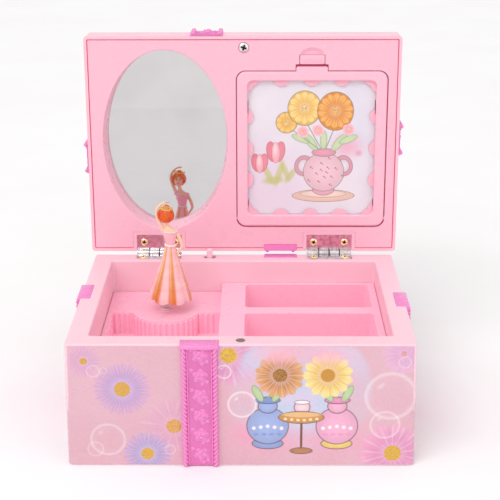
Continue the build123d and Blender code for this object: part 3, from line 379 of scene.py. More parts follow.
nickel = metal("nickel", "#EAE4E6", "#75696D", 0.13, 0.3, 0.5, (0.3, 3, 3))
brass = metal("brass_screws", "#D9B56E", "#7A5B2E", 0.24, 0.4, 0.4)
steel = metal("steel_screws", "#A9A8A8", "#55555A", 0.28, 0.4, 0.35)
magnet_grey = metal("magnet_plating", "#9C948F", "#5F5753", 0.38, 0.5, 0.5)
cast = metal("die_cast", "#A8A8A6", "#6B6A68", 0.45, 0.8, 0.35)
machined = metal("machined_brass", "#D4B064", "#8C6A34", 0.26, 0.4, 0.3, (1, 1, 4))
wire_steel = metal("spring_wire", "#A3A3A8", "#4A4A50", 0.22, 0.2, 0.3)
ivory = moulded("ivory_plastic", "#EFEBE2", "#DED8CC", rough=0.4, sss=0.1)


# ---------- the printed film of the base
class Sketch:
    """Remembers what is drawn and how far it reaches, so that each tile of the film carries only its own share."""

    def __init__(self):
        self.marks = []

    def note(self, kind, lo, hi, *args, **kwargs):
        self.marks.append((kind, lo, hi, args, kwargs))

    def round_mark(self, kind, at, reach, *args, **kwargs):
        self.note(kind, (at[0] - reach, at[1] - reach), (at[0] + reach, at[1] + reach), *args, **kwargs)

    def daisy(self, at, radius, *args, **kwargs):
        self.round_mark("daisy", at, radius * 1.1, at, radius, *args, **kwargs)

    def bubble(self, at, radius, *args, **kwargs):
        self.round_mark("bubble", at, radius * 1.1, at, radius, *args, **kwargs)

    def oval(self, colour, at, size, turn=0.0, soft=0.04, strength=1.0):
        self.round_mark("oval", at, max(size) * (1 + soft), colour, at, size, turn, soft, strength)

    def outlined(self, colour, at, size, **kwargs):
        self.round_mark("outlined", at, max(size) + 0.8, colour, at, size, **kwargs)

    def stroke(self, colour, a, b, width, strength=1.0):
        lo = (min(a[0], b[0]) - width, min(a[1], b[1]) - width)
        hi = (max(a[0], b[0]) + width, max(a[1], b[1]) + width)
        self.note("stroke", lo, hi, colour, a, b, width, strength)

    def soft_heart(self, at, size):
        self.round_mark("soft_heart", at, max(size) * 1.5, at, size)

    def draw(self, m, p, colour, lo=(-FAR, -FAR), hi=(FAR, FAR)):
        """Draws what reaches into the box from LO to HI with M on the place P, over COLOUR."""
        for kind, a, b, args, kwargs in self.marks:
            if a[0] < hi[0] and b[0] > lo[0] and a[1] < hi[1] and b[1] > lo[1]:
                colour = getattr(m, kind)(p, colour, *args, **kwargs)
        return colour


# petals of the printed daisies: near the heart, at the tip
LILAC = "#B392C8", "#D2A2C6"
MAUVE = "#CE98C2", "#DFA6C4"
PINK = "#D588B8", "#E6A2C6"
BLUE = "#A79ACB", "#C6A2CA"
CARMINE = "#D884B4", "#EAA6C6"


def front_print(d):
    """Daisies, soap bubbles and a heart picture of two vases by a small table, on a flat place in mm."""
    # left of the strap
    d.daisy((-71.5, 53.6), 9.0, 1.7, 14, *MAUVE, strength=0.55, fade=0.22)
    d.daisy((-54.3, 39.5), 13.6, 3.7, 25, *LILAC, strength=0.85, wide=0.5, fade=0.10)
    d.daisy((-31.0, 20.6), 15.5, 3.6, 9, "#D898BC", "#E2A8C2", eye="#E2AE6E", strength=0.42, fade=0.12, turn=12)
    d.daisy((-43.6, 6.2), 11.4, 3.0, 17, *BLUE, eye="#E4B84E", strength=0.85, wide=0.45, fade=0.05)
    d.bubble((-61.8, 13.6), 8.4, 0.22)
    d.bubble((-67.8, 8.6), 3.9, 0.22)
    d.bubble((-33.0, 8.4), 2.6, 0.30)
    d.bubble((-67.2, 48.6), 3.1, 0.26)
    d.bubble((-62.6, 48.9), 1.7, 0.26)
    # right of the strap
    d.daisy((-5.4, 56.6), 16.0, 3.9, 11, *PINK, eye="#E3BD4C", strength=0.72, fade=0.10, turn=20)
    d.daisy((70.6, 6.6), 15.6, 4.0, 10, *CARMINE, eye="#E3BD4C", strength=0.85, fade=0.06, turn=8)
    d.daisy((74.0, 57.5), 11.0, 1.4, 12, "#D79CD2", "#EAB4DA", eye="#E9A9CF", strength=0.45, fade=0.2)
    heart_picture(d)
    d.bubble((-7.6, 48.4), 3.5, 0.55)
    d.oval("#E086C6", (-8.2, 48.4), (0.7, 1.7), turn=-30, soft=0.3, strength=0.6)
    d.bubble((0.6, 31.8), 6.8, 0.42)
    d.bubble((68.8, 36.2), 12.2, 0.24)
    d.bubble((66.6, 21.4), 7.2, 0.26)
    d.bubble((74.6, 53.2), 3.0, 0.26)


def heart_picture(d):
    """Two vases, each with one big round blossom, beside a small table on a pale heart."""
    d.soft_heart((28.2, 33.2), (26.5, 24.5))
    # rosy glow round the lower edge
    for at, size in (((12.0, 13.5), (15.0, 6.5)), ((45.5, 13.5), (15.0, 7.0)), ((5.0, 18.0), (8.0, 5.0))):
        d.oval("#F0A0BE", at, size, soft=0.75, strength=0.45)
    ink = "#5B4250"
    for side, x, body, deep, foot in ((-1, 12.4, "#A3B5E4", "#8098CF", "#93A9DA"),
                                      (1, 44.4, "#F4B3D0", "#EE93BF", "#F1D27A")):
        d.outlined(foot, (x, 11.6), (7.0, 2.6), line=ink)
        d.outlined(body, (x, 20.8), (9.4, 9.2), line=ink)
        d.outlined(body, (x, 31.0), (4.2, 3.4), line=ink)
        d.outlined(deep, (x, 34.0), (5.6, 1.5), line=ink)
        for k in range(5):
            d.oval("#FFF4F6", (x + (k - 2) * 3.2, 20.6 - 0.5 * abs(k - 2)), (0.9, 0.9), soft=0.2, strength=0.85)
        for k in range(4):
            d.oval(deep, (x + (k - 1.5) * 3.6, 16.4), (1.3, 0.7), soft=0.3, strength=0.8)
        for turn, dx in ((118, -4.6), (62, 4.6)):
            d.outlined("#BFD3A0", (x + dx, 37.4), (4.4, 1.6), turn=turn, line="#7F9A6E", pen=0.35)
        d.stroke("#8FB086", (x, 34.6), (x - side * 3.6, 42.0), 0.9)
    d.daisy((18.0, 46.6), 11.2, 3.3, 13, "#B9732F", "#E0A064", eye="#7A4A2C", fade=0.02)
    d.daisy((39.8, 46.6), 11.2, 3.3, 13, "#E0B040", "#F7DE8C", eye="#C98F2E", fade=0.02, turn=14)
    # both blossoms fade into rose at the top
    for x in (18.0, 39.8):
        d.oval("#F2B4C6", (x, 57.0), (9.6, 4.2), soft=0.75, strength=0.8)
    # a round table with a cup on it
    d.stroke("#7D5236", (28.0, 24.4), (28.0, 8.6), 1.1)
    d.outlined("#B9835A", (28.0, 7.8), (5.0, 1.4), line="#7A4A2C")
    d.outlined("#F7D3DF", (28.2, 30.4), (3.4, 3.2), line=ink)
    d.outlined("#FFF2F4", (28.2, 33.0), (3.4, 0.9), line=ink, pen=0.3)
    d.outlined("#D69A55", (27.9, 25.2), (10.3, 2.9), line="#7A4A2C")
    d.oval("#E9BC84", (27.9, 26.6), (8.8, 1.3), soft=0.2)
    for k in range(6):
        d.oval("#F6DDB8", (20.6 + k * 2.9, 24.4 - 0.3 * (2.5 - abs(k - 2.5))), (0.8, 0.65), soft=0.2)


def side_print(d):
    """The flowers of the two ends, drawn round U = 200 mm."""
    d.daisy((-38.0, 40.0), 14.0, 3.7, 22, *LILAC, strength=0.8, wide=0.5, fade=0.10)
    d.daisy((30.0, 46.0), 15.0, 3.8, 11, *PINK, eye="#E3BD4C", strength=0.75, fade=0.08, turn=15)
    d.daisy((40.0, 14.0), 12.0, 3.0, 17, *BLUE, eye="#E4B84E", strength=0.8, wide=0.45, fade=0.06)
    d.daisy((-25.0, 12.0), 10.0, 2.4, 14, *MAUVE, strength=0.55, fade=0.2)
    d.bubble((-47.0, 17.0), 6.5, 0.28)
    d.bubble((20.0, 25.0), 5.0, 0.32)
    d.bubble((13.0, 34.0), 2.6, 0.3)


def film_tile(name, sketch, lo, hi, ends):
    """The film's paper and what SKETCH draws between the corners LO and HI, on an end wall or a long one."""
    m = Paint(name, IOR=1.5, Specular_IOR_Level=0.5)
    x, y, z = m.xyz()
    u = y * x.sign() if ends else (x * y.sign()) * -1.0
    c = m.mix(m.cloudy(0.022, 0.35, 0.7, 0.0, 1.0), "#DDACBA", "#E0B3C0")
    c = m.mix(m.ramp(z, 10.0, 62.0, 0.0, 0.35), c, "#E3B6C2")
    m.set("Base Color", sketch.draw(m, m.vector(u, z), c, lo, hi))
    m.film_finish()
    m.soft(0.05, 0.003, 0.0015, 0.0013)
    return m


def top_print_material():
    """The film on the lid: flowers and bubbles round a soft heart."""
    m = Paint("lid_film", IOR=1.5, Specular_IOR_Level=0.5)
    x, y, z = m.xyz()
    # the film stands almost upright in the stored pose, and its height above the hinge runs along Z
    p = m.vector(x * -1.0, z - 120.0)
    cloud = m.noise(0.022, 3.0, 0.6)
    c = m.mix(m.ramp(cloud, 0.35, 0.7), "#EDB7C7", "#F2C2D0")
    d = Sketch()
    d.daisy((-48.0, 22.0), 17.0, 4.4, 25, *LILAC, strength=0.85, wide=0.5, fade=0.10)
    d.daisy((50.0, 26.0), 18.0, 4.5, 11, *PINK, eye="#E3BD4C", strength=0.8, fade=0.08, turn=20)
    d.daisy((52.0, -26.0), 15.0, 4.0, 17, *BLUE, eye="#E4B84E", strength=0.8, wide=0.45, fade=0.06)
    d.daisy((-50.0, -27.0), 16.0, 4.0, 10, *CARMINE, eye="#E3BD4C", strength=0.8, fade=0.06, turn=8)
    c = d.draw(m, p, c)
    f = m.heart_shape(m.local(p, (0.0, 2.0), (26.0, 25.0)))
    c = m.mix(m.ramp(f, -0.4, 0.25, 0.9, 0.0), c, m.mix(m.ramp(cloud, 0.35, 0.65), "#C3CFE6", "#D6CBE4"))
    d = Sketch()
    d.daisy((-7.0, 6.0), 12.0, 3.2, 13, "#E9B24E", "#F6D98C", eye="#C9803A", strength=0.95, fade=0.02, turn=10)
    d.daisy((9.5, 1.0), 11.0, 3.0, 12, "#E77FB4", "#F8B8D6", eye="#F3D27A", strength=0.95, fade=0.02)
    d.daisy((-1.5, -9.0), 8.5, 2.3, 12, "#8EA4D6", "#C7D2F0", eye="#F3D27A", strength=0.95, fade=0.02)
    for x, y, r in ((-26, 33, 6.0), (-18, 38, 3.0), (30, 36, 4.5), (-33, -6, 5.0), (33, -2, 6.5), (24, -33, 5.0),
                    (-22, -36, 4.0), (-60, 0, 5.5), (61, 2, 4.0)):
        d.bubble((x, y), r, 0.42)
    m.set("Base Color", d.draw(m, p, c))
    m.film_finish()
    return m


def card_material():
    """The card in the photo door: tulips on the left and a vase of round blossoms on a pale ground."""
    m = Paint("photo_card", IOR=1.45, Specular_IOR_Level=0.35)
    x, y, z = m.xyz()
    # height up the lid from its hinge edge
    lean = radians(OPEN_DEG - 90.0)
    up = (z - AXIS_Z) * cos(lean) + (y - AXIS_Y) * sin(lean) - (AXIS_Y - LID_BACK)
    p = m.vector(x, up)
    c = m.mix(m.cloudy(0.05, 0.35, 0.7, 0.0, 1.0), "#E6E2EA", "#EDE9EE")
    d = Sketch()
    d.oval("#E3CFE6", (14.0, 36.0), (20.0, 18.0), soft=0.8, strength=0.4)
    d.oval("#D5D8EA", (58.0, 70.0), (14.0, 20.0), soft=0.8, strength=0.35)
    ink = "#8A6A66"
    # leaves and tulips
    for at, size, turn in (((13.0, 42.0), (1.6, 6.0), 28), ((19.0, 42.0), (1.7, 7.0), -16),
                           ((22.0, 44.0), (1.5, 5.6), 22), ((25.0, 41.0), (1.6, 4.6), -34),
                           ((16.0, 38.5), (5.5, 2.0), 6)):
        d.oval("#C9CC86", at, size, turn=turn, soft=0.45, strength=0.8)
    for at, s in (((8.7, 48.0), 1.0), ((17.2, 54.0), 1.12)):
        d.outlined("#E9909E", (at[0] - 1.9 * s, at[1]), (2.3 * s, 4.8 * s), turn=10, line="#C0606E", pen=0.25)
        d.outlined("#EC98A6", (at[0] + 1.9 * s, at[1]), (2.3 * s, 4.8 * s), turn=-10, line="#C0606E", pen=0.25)
        d.outlined("#F4BFC6", (at[0], at[1] - 0.5 * s), (1.9 * s, 4.9 * s), line="#D07A86", pen=0.25)
        d.oval("#FCE3E6", (at[0] - 0.3, at[1] + 1.2 * s), (0.9 * s, 2.6 * s), soft=0.7, strength=0.8)
    d.oval("#F0A7BE", (54.8, 57.0), (6.5, 5.5), soft=0.95, strength=0.7)
    d.oval("#E98FB0", (61.0, 53.2), (1.6, 1.4), soft=0.7, strength=0.6)
    # a dotted vase with two handles on a saucer
    d.outlined("#F3D3C0", (42.6, 30.0), (16.4, 3.2), line=ink, pen=0.3)
    d.outlined("#F8E4D6", (42.6, 31.0), (12.0, 1.9), line=ink, pen=0.2)
    for side in (-1, 1):
        d.outlined("#E7A9BE", (42.6 + side * 10.6, 46.4), (4.6, 5.4), turn=side * 14, line=ink, pen=0.3)
        d.outlined("#E9E2EA", (42.6 + side * 10.8, 46.4), (2.7, 3.4), turn=side * 14, line=ink, pen=0.25)
    d.outlined("#EDB7C8", (42.6, 33.4), (5.6, 3.0), line=ink, pen=0.3)
    d.outlined("#F2CFD8", (42.6, 43.0), (10.6, 10.4), line=ink, pen=0.3)
    for k in range(14):
        a = k * 2.4
        r = 1.4 + 0.66 * k
        at = (42.6 + r * cos(a), 43.0 + r * 0.94 * sin(a))
        d.oval("#5E4550", at, (0.42, 0.42), soft=0.3, strength=0.7)
        d.oval("#D9607E", (at[0] + 0.8, at[1] - 0.7), (0.4, 0.4), soft=0.3, strength=0.75)
    d.outlined("#E9A6BC", (42.6, 53.6), (6.2, 2.0), line=ink, pen=0.3)
    # stems and leaves
    for at, size, turn in (((35.4, 59.4), (5.6, 2.0), 128), ((50.6, 59.0), (5.6, 2.0), 50),
                           ((30.4, 61.0), (5.0, 1.7), 158), ((55.4, 60.6), (5.0, 1.7), 22),
                           ((42.4, 60.4), (1.7, 5.0), 0)):
        d.outlined("#CFE0B8", at, size, turn=turn, line="#8FA27E", pen=0.25)
    for x0, x1, top in ((41.4, 33.0, 70.0), (43.4, 48.4, 68.0), (40.6, 25.4, 66.0)):
        d.stroke("#8FB086", (x0, 55.0), (x1, top), 0.6, 0.9)
    # two big round blossoms
    d.outlined("#EFC45E", (22.8, 69.6), (5.4, 5.4), line=ink, pen=0.35)
    d.daisy((22.8, 69.6), 5.2, 1.2, 9, "#E2A93E", "#F5D27C", eye="#F7E1A0", strength=0.9, fade=0.02)
    d.outlined("#F1C864", (32.2, 77.2), (8.6, 9.0), line=ink, pen=0.35)
    d.daisy((32.2, 77.4), 8.2, 2.0, 12, "#E8B54A", "#F8DC90", eye="#F9E7B4", strength=0.9, fade=0.02)
    d.outlined("#E79A38", (48.4, 75.6), (9.3, 10.0), line=ink, pen=0.35)
    d.daisy((48.4, 75.8), 9.0, 2.2, 14, "#DE8A2C", "#F3B765", eye="#F6D08E", strength=0.9, fade=0.02, turn=9)
    for at in ((39.4, 65.4), (55.4, 65.8), (31.4, 64.6)):
        d.daisy(at, 3.2, 0.8, 5, "#F09AAE", "#F8C6CE", eye="#F9E7B4", fade=0.02)
    m.set("Base Color", d.draw(m, p, c))
    m.set("Roughness", m.cloudy(0.6, 0.3, 0.7, 0.34, 0.5))
    m.bump(m.noise(3.0, 3.0, 0.6), 0.12, 0.00005)
    return m


# ---------- geometry helpers
def around(sides):
    """The angles of SIDES points round a circle."""
    return [2 * pi * k / sides for k in range(sides)]


def walls(rings, sides, start=0, joined=False, outward=True):
    """Quads between RINGS rings of SIDES points; JOINED leads from the last ring back to the first."""
    faces = []
    for j in range(rings if joined else rings - 1):
        low, high = start + j * sides, start + (j + 1) % rings * sides
        for k in range(sides):
            n = (k + 1) % sides
            a, b, c, d = low + k, low + n, high + n, high + k
            faces.append((a, b, c, d) if outward else (a, d, c, b))
    return faces


def cap(start, sides, outward=True):
    """One face over the ring of points from START."""
    face = tuple(start + k for k in range(sides))
    return face if outward else face[::-1]


def plate_faces(nx, nz):
    """The faces of a closed plate: NX by NZ points in front, then as many behind them."""
    half = nx * nz
    faces = []
    for j in range(nz - 1):
        for i in range(nx - 1):
            a = j * nx + i
            faces.append((a, a + 1, a + nx + 1, a + nx))
            faces.append((half + a + nx, half + a + nx + 1, half + a + 1, half + a))
    for i in range(nx - 1):
        a = (nz - 1) * nx + i
        faces += [(half + i, half + i + 1, i + 1, i), (a, a + 1, half + a + 1, half + a)]
    for j in range(nz - 1):
        a, b = j * nx, j * nx + nx - 1
        faces += [(a, a + nx, half + a + nx, half + a), (half + b, half + b + nx, b + nx, b)]
    return faces


def tube(path, radii, sides=10, closed=False):
    """Vertices and faces of a tube along PATH; RADII is a number or one radius for each point."""
    pts = [Vector(p) for p in path]
    n = len(pts)
    if not hasattr(radii, "__len__"):
        radii = [radii] * n
    verts = []
    normal = None
    for i, p in enumerate(pts):
        a = pts[(i - 1) % n] if closed or i else pts[0]
        b = pts[(i + 1) % n] if closed or i < n - 1 else pts[-1]
        t = (b - a).normalized()
        if normal is None:
            normal = t.orthogonal().normalized()
        normal = (normal - t * normal.dot(t)).normalized()
        other = t.cross(normal)
        verts += [p + (normal * cos(w) + other * sin(w)) * radii[i] for w in around(sides)]
    faces = walls(n, sides, joined=closed)
    if not closed:
        faces += [cap(0, sides, False), cap((n - 1) * sides, sides)]
    return verts, faces


def thread(points, sides=8):
    """A tube through points that carry their own radius: x, y, z, radius."""
    return tube([p[:3] for p in points], [p[3] for p in points], sides)


def dome(radius, height, rings=4, sides=12, under=0.4):
    """A closed low dome in the local frame: X and Z across, -Y outwards."""
    verts = []
    for i in range(rings):
        r = 1 - i / rings
        h = height * (1 - r ** 2.0) ** 0.6
        verts += [(radius * r * cos(w), -h, radius * r * sin(w)) for w in around(sides)]
    tip = rings * sides
    faces = walls(rings, sides) + [(tip - sides + k, tip - sides + (k + 1) % sides, tip) for k in range(sides)]
    verts.append((0, -height, 0))
    base = len(verts)
    verts += [(x, under, z) for x, y, z in verts[:sides]]
    for k in range(sides):
        b = (k + 1) % sides
        faces.append((b, k, base + k, base + b))
    faces.append(cap(base, sides))
    return verts, faces


class Pile:
    """Collects small closed shapes into one mesh."""

    def __init__(self):
        self.verts, self.faces, self.kinds = [], [], []

    def shape(self):
        return self.verts, self.faces

    def add(self, shape, at=(0, 0, 0), turn=None, kind=0):
        verts, faces = shape
        base = len(self.verts)
        for v in verts:
            v = Vector(v)
            if turn is not None:
                v = turn @ v
            self.verts.append(v + Vector(at))
        self.faces += [tuple(base + k for k in f) for f in faces]
        self.kinds += [kind] * len(faces)


# ---------- straps
def petal(length, width, lift, bend, rings=5, sides=7):
    """One overlapping petal, growing along +X from the origin, its tip lifted towards -Y."""
    verts = []
    for i in range(rings + 1):
        t = i / rings
        half = width * sqrt(max(0.0, sin(pi * (0.12 + 0.88 * t) * 0.93))) * (0.5 if t < 0.02 else 1.0)
        for k in range(sides + 1):
            s = 2 * k / sides - 1
            cup = lift * t ** 1.5 + bend * (1 - s * s) * sin(pi * min(1, t * 0.9))
            verts.append((length * t * (1 - 0.25 * s * s * t), -0.06 - cup, half * s))
    row = sides + 1
    for i in range(rings + 1):
        for x, y, z in verts[i * row:(i + 1) * row]:
            verts.append((x, min(0.5, y + 0.42 + 0.3 * (1 - i / rings)), z))
    return verts, plate_faces(row, rings + 1)


def rose_shapes(pile, cx, cz, turn):
    """A moulded rose: rings of five, four and three petals and a spiral heart on a dome."""
    r, depth = 3.75, 1.35
    for count, size, wide, lift, bend, phase, out in (
            (5, 1.0, 0.62, 0.10, 0.16, 0.3, -0.12), (4, 0.72, 0.46, 0.12, 0.22, 0.9, -0.42),
            (3, 0.46, 0.34, 0.10, 0.20, 1.5, -0.72)):
        for k in range(count):
            m = Matrix.Rotation(-(turn + 2 * pi * k / count + phase), 3, "Y")
            pile.add(petal(r * size, r * wide, lift * r, bend * r), (cx, depth * out, cz), m)
    spiral = []
    for k in range(26):
        a = 0.55 * k
        rr = r * (0.05 + 0.0125 * k)
        spiral.append((rr * cos(a), 0.0, rr * sin(a)))
    pile.add(tube(spiral, r * 0.055, 6), (cx, -depth * 0.98, cz))
    pile.add(dome(r * 0.36, depth * 0.5), (cx, -depth * 0.55, cz))


def leaf_shape(length, width):
    verts, faces = petal(length, width, 0.12, 0.35, 6, 6)
    out = []
    for x, y, z in verts:
        t = x / length
        pinch = 1 - 0.75 * max(0.0, t - 0.45) / 0.55
        out.append((x, y + 0.10 * (1 - abs(z) / max(width, 0.01)) * (1 if y < 0.1 else 0), z * pinch))
    return out, faces


def rope_pair(pile, z0, z1, side):
    """Two strands twisted round each other from Z0 to Z1 along one edge of the strap."""
    x, y, twist = side * 7.05, -1.0, 4.3
    turns = abs(z1 - z0) / twist
    steps = max(24, int(turns * 16))
    for strand in (0, 1):
        path = []
        for k in range(steps + 1):
            t = k / steps
            w = side * 2 * pi * turns * t + pi * strand
            path.append((x + ROPE_R * 0.48 * cos(w), y + ROPE_R * 0.48 * sin(w), z0 + (z1 - z0) * t))
        radii = [ROPE_R * 0.60] * len(path)
        for k in range(4):
            radii[k] *= 0.55 + 0.15 * k
            radii[-1 - k] *= 0.55 + 0.15 * k
        pile.add(tube(path, radii, 9))


def strap_pile(length, roses, first, skip):
    """A strap hanging down local -Z from z = 0: band, twisted edges and roses; the front looks to -Y."""
    pile = Pile()
    half = STRAP_W / 2
    xs = [-half, -half + 0.35] + [-half + 1.2 + (STRAP_W - 2.4) * k / 44 for k in range(45)] + [half - 0.35, half]
    rows = max(40, int(length * 2.6))
    zs = [-length + (length - skip * 0.2) * k / rows for k in range(rows + 1)]

    def relief(x, z):
        edge = max(0.0, 1 - (half - abs(x)) / 0.35)
        pits = noise.noise(Vector((x * 1.5, 3.1, z * 1.5))) + 0.6 * noise.noise(Vector((x * 3.4, 7.7, z * 3.4)))
        field = 0.62 + 0.16 * pits
        lip = max(0.0, min(1.0, (abs(x) - 5.4) / 0.6))
        return (field * (1 - lip) + 0.8 * lip) - 0.30 * edge

    front = [(x, -relief(x, z), z) for z in zs for x in xs]
    pile.add((front + [(x, 0.0, z) for x, y, z in front], plate_faces(len(xs), len(zs))), kind=1)
    for side in (-1, 1):
        rope_pair(pile, -length - 0.25, -skip, side)
        pile.add(tube([(side * 5.55, -0.86, -length + 0.2), (side * 5.55, -0.86, -skip - 0.2)], 0.34, 8))
    for k in range(roses):
        z = -first - ROSE_PITCH * k
        rose_shapes(pile, 0.25, z, 0.9 + 0.35 * sin(2.1 * k))
        for x, dz, angle, size in ((-3.3, 2.5, 128, 2.7), (3.0, -2.6, -32, 2.5), (1.2, -3.4, -82, 2.4)):
            a = radians(angle)
            at = (x - 0.5 * cos(a), -0.62, z + dz - 0.5 * sin(a))
            pile.add(leaf_shape(size, 1.05), at, Matrix.Rotation(-a, 3, "Y"))
    return pile


def wrap_base(length):
    """Strap space (x, outward, distance down) to the side of the base."""
    low = DRAFT * (BASE_H - 0.4) / BASE_H
    lean = Matrix.Translation((0, -low, 0.4)) @ Matrix.Rotation(-TAPER, 4, "X")
    return lambda v: lean @ Vector((v[0], v[1], v[2] + length))


def wrap_lid(z_low, z_top, run_in, soft=0.9):
    """Strap space to the side of the lid, round its edge and in over its top; distance 0 is the inner end."""
    arc = (soft + 0.9) * pi / 2

    def wrap(v):
        x, y, d = v
        n = -y
        flat = run_in - soft
        s = -d
        if s <= flat:
            return Vector((x, run_in - s, z_top + n))
        if s <= flat + arc:
            a = (s - flat) / arc * pi / 2
            return Vector((x, soft - (soft + n) * sin(a), z_top - soft + (soft + n) * cos(a)))
        return Vector((x, -n, z_top - soft - (s - flat - arc)))
    length = run_in - soft + arc + (z_top - soft - z_low)
    return wrap, length


def band(width, profile):
    """A closed bar across X with the given (y, z) outline, its ends slightly rounded."""
    n = len(profile)
    cy = sum(p[0] for p in profile) / n
    cz = sum(p[1] for p in profile) / n
    stations = [(-width / 2, 0.80), (-width / 2 + 0.12, 0.93), (-width / 2 + 0.35, 1.0), (width / 2 - 0.35, 1.0),
                (width / 2 - 0.12, 0.93), (width / 2, 0.80)]
    verts = [(x, cy + (y - cy) * (0.5 + 0.5 * k), cz + (z - cz) * k) for x, k in stations for y, z in profile]
    last = (len(stations) - 1) * n
    return verts, walls(len(stations), n) + [cap(0, n), cap(last, n, False)]


def strap_object(name, pile, body, place, node):
    obj = add_mesh(name, pile.shape(), strap_magenta, body, node, place, 50.0)
    more_paints(obj, pile.kinds, [strap_field])


def base_strap(side):
    length = hypot(BASE_H - 0.4, DRAFT * (BASE_H - 0.4) / BASE_H)
    pile = strap_pile(length, 6, 5.3, 4.2 if side == "back" else 1.9)
    wrap = wrap_base(length)
    pile.verts = [wrap(v) for v in pile.verts]
    # the tab over the rim: (y, height above the rim)
    nose = [(4.95, -0.04), (4.95, -0.72), (0.0, -0.74), (-0.05, -2.4), (-0.9, -2.5), (-1.35, -2.25), (-1.72, -1.7),
            (-1.80, -1.0), (-1.6, -0.4), (-1.15, -0.02), (-0.5, 0.10), (0.4, 0.10), (4.6, 0.08)]
    if side == "back":
        nose = [(4.95, -0.04), (4.95, -0.72), (0.0, -0.74), (-0.02, -3.2), (-0.75, -3.3), (-0.98, -2.6), (-1.0, -0.8),
                (-0.8, -0.2), (-0.4, 0.02), (4.6, 0.02)]
    pile.add(band(TAB_W, [(y, BASE_H + z) for y, z in nose]))
    place = on_side(side, BASE_W / 2, -BASE_D / 2, BASE_D / 2)
    strap_object(f"strap_base_{side}_relief", pile, "base", place, "strap_base_" + side)


def lid_strap(side):
    z_top = LID_LOW + LID_H
    wrap, length = wrap_lid(LID_LOW + (4.4 if side == "back" else 0.1), z_top, 15.0)
    pile = strap_pile(length, 3, 4.6, 0.6)
    pile.verts = [wrap(v) for v in pile.verts]
    end = [(15.6, 0.02), (14.2, 0.02), (14.1, 1.0), (14.5, 1.35), (15.2, 1.1)]
    pile.add(band(STRAP_W, [(y, z_top + z) for y, z in end]))
    if side == "back":
        tab = [(3.6, 0.0), (3.6, 0.78), (0.86, 0.8), (0.84, 6.0), (-0.6, 5.9), (-0.4, 4.6), (0.06, 4.3), (0.06, 0.1)]
        pile.add(band(TAB_W, [(y, LID_LOW + z) for y, z in tab]))
    place = on_side(side, BASE_W / 2 + LID_OVER, LID_BACK - LID_DEPTH, LID_BACK) @ Matrix.Translation((0, 0, PROUD))
    strap_object(f"strap_lid_{side}_relief", pile, "lid", OPEN @ place, "strap_lid_" + side)


def on_side(side, half_x, y_front, y_back):
    """From strap space to the wall on SIDE."""
    at = {"front": (STRAP_AT[side], y_front - PROUD), "back": (STRAP_AT[side], y_back + PROUD),
          "left": (-half_x - PROUD, STRAP_AT[side]), "right": (half_x + PROUD, STRAP_AT[side])}[side]
    return Matrix.Translation((*at, 0)) @ Matrix.Rotation(radians(STRAP_TURN[side]), 4, "Z")


for where in STRAP_AT:
    base_strap(where)
    lid_strap(where)


# ---------- printed film round the base
FLAT_CUTS = (-26.9, -10.4, 4.6, 16.5, 28.6, 38.4, 48.0, 60.0)
END_CUTS = (-14.0, 14.0)
LEVELS = (0.5, 12.0, 24.0, 34.0, 43.0, 52.0, 60.6, 61.0)
FILM_T = 0.19


def film_outline(inset, z):
    """Half width, half depth and corner radius of the film at height Z."""
    out = DRAFT * (BASE_H - z) / BASE_H
    return BASE_W / 2 + out - inset, BASE_D / 2 + out - inset, 2.4 - inset * 0.5


def film_path():
    """Points round the film as (wall, u or None, corner angle); walls run front, right, back, left."""
    path = []
    for wall in range(4):
        half = BASE_W / 2 if wall % 2 == 0 else BASE_D / 2
        cuts = FLAT_CUTS if wall % 2 == 0 else END_CUTS
        stops = sorted({-half + 1.5, half - 1.5, *[c for c in cuts if abs(c) < half - 1.6]})
        if wall == 2:
            stops = sorted(stops + [side - hx for hx in HINGE_X for side in (-12.6, 12.6)])
        path += [(wall, u, None) for u in stops]
        path += [(wall, None, 90.0 * k / 8) for k in range(1, 8)]
    return path


def film_point(wall, u, angle, inset, z):
    hw, hd, r = film_outline(inset, z)
    half_u, half_v = (hw, hd) if wall % 2 == 0 else (hd, hw)
    if u is None:
        a = radians(angle)
        x, y = half_u - r + r * sin(a), -half_v + r - r * cos(a)
    else:
        base = BASE_W / 2 if wall % 2 == 0 else BASE_D / 2
        x = max(-half_u + r, min(half_u - r, u))
        if abs(abs(u) - (base - 1.5)) < 0.01:
            x = copysign(half_u - r, u)
        y = -half_v
    turn = radians(90 * wall)
    return (x * cos(turn) - y * sin(turn), x * sin(turn) + y * cos(turn))


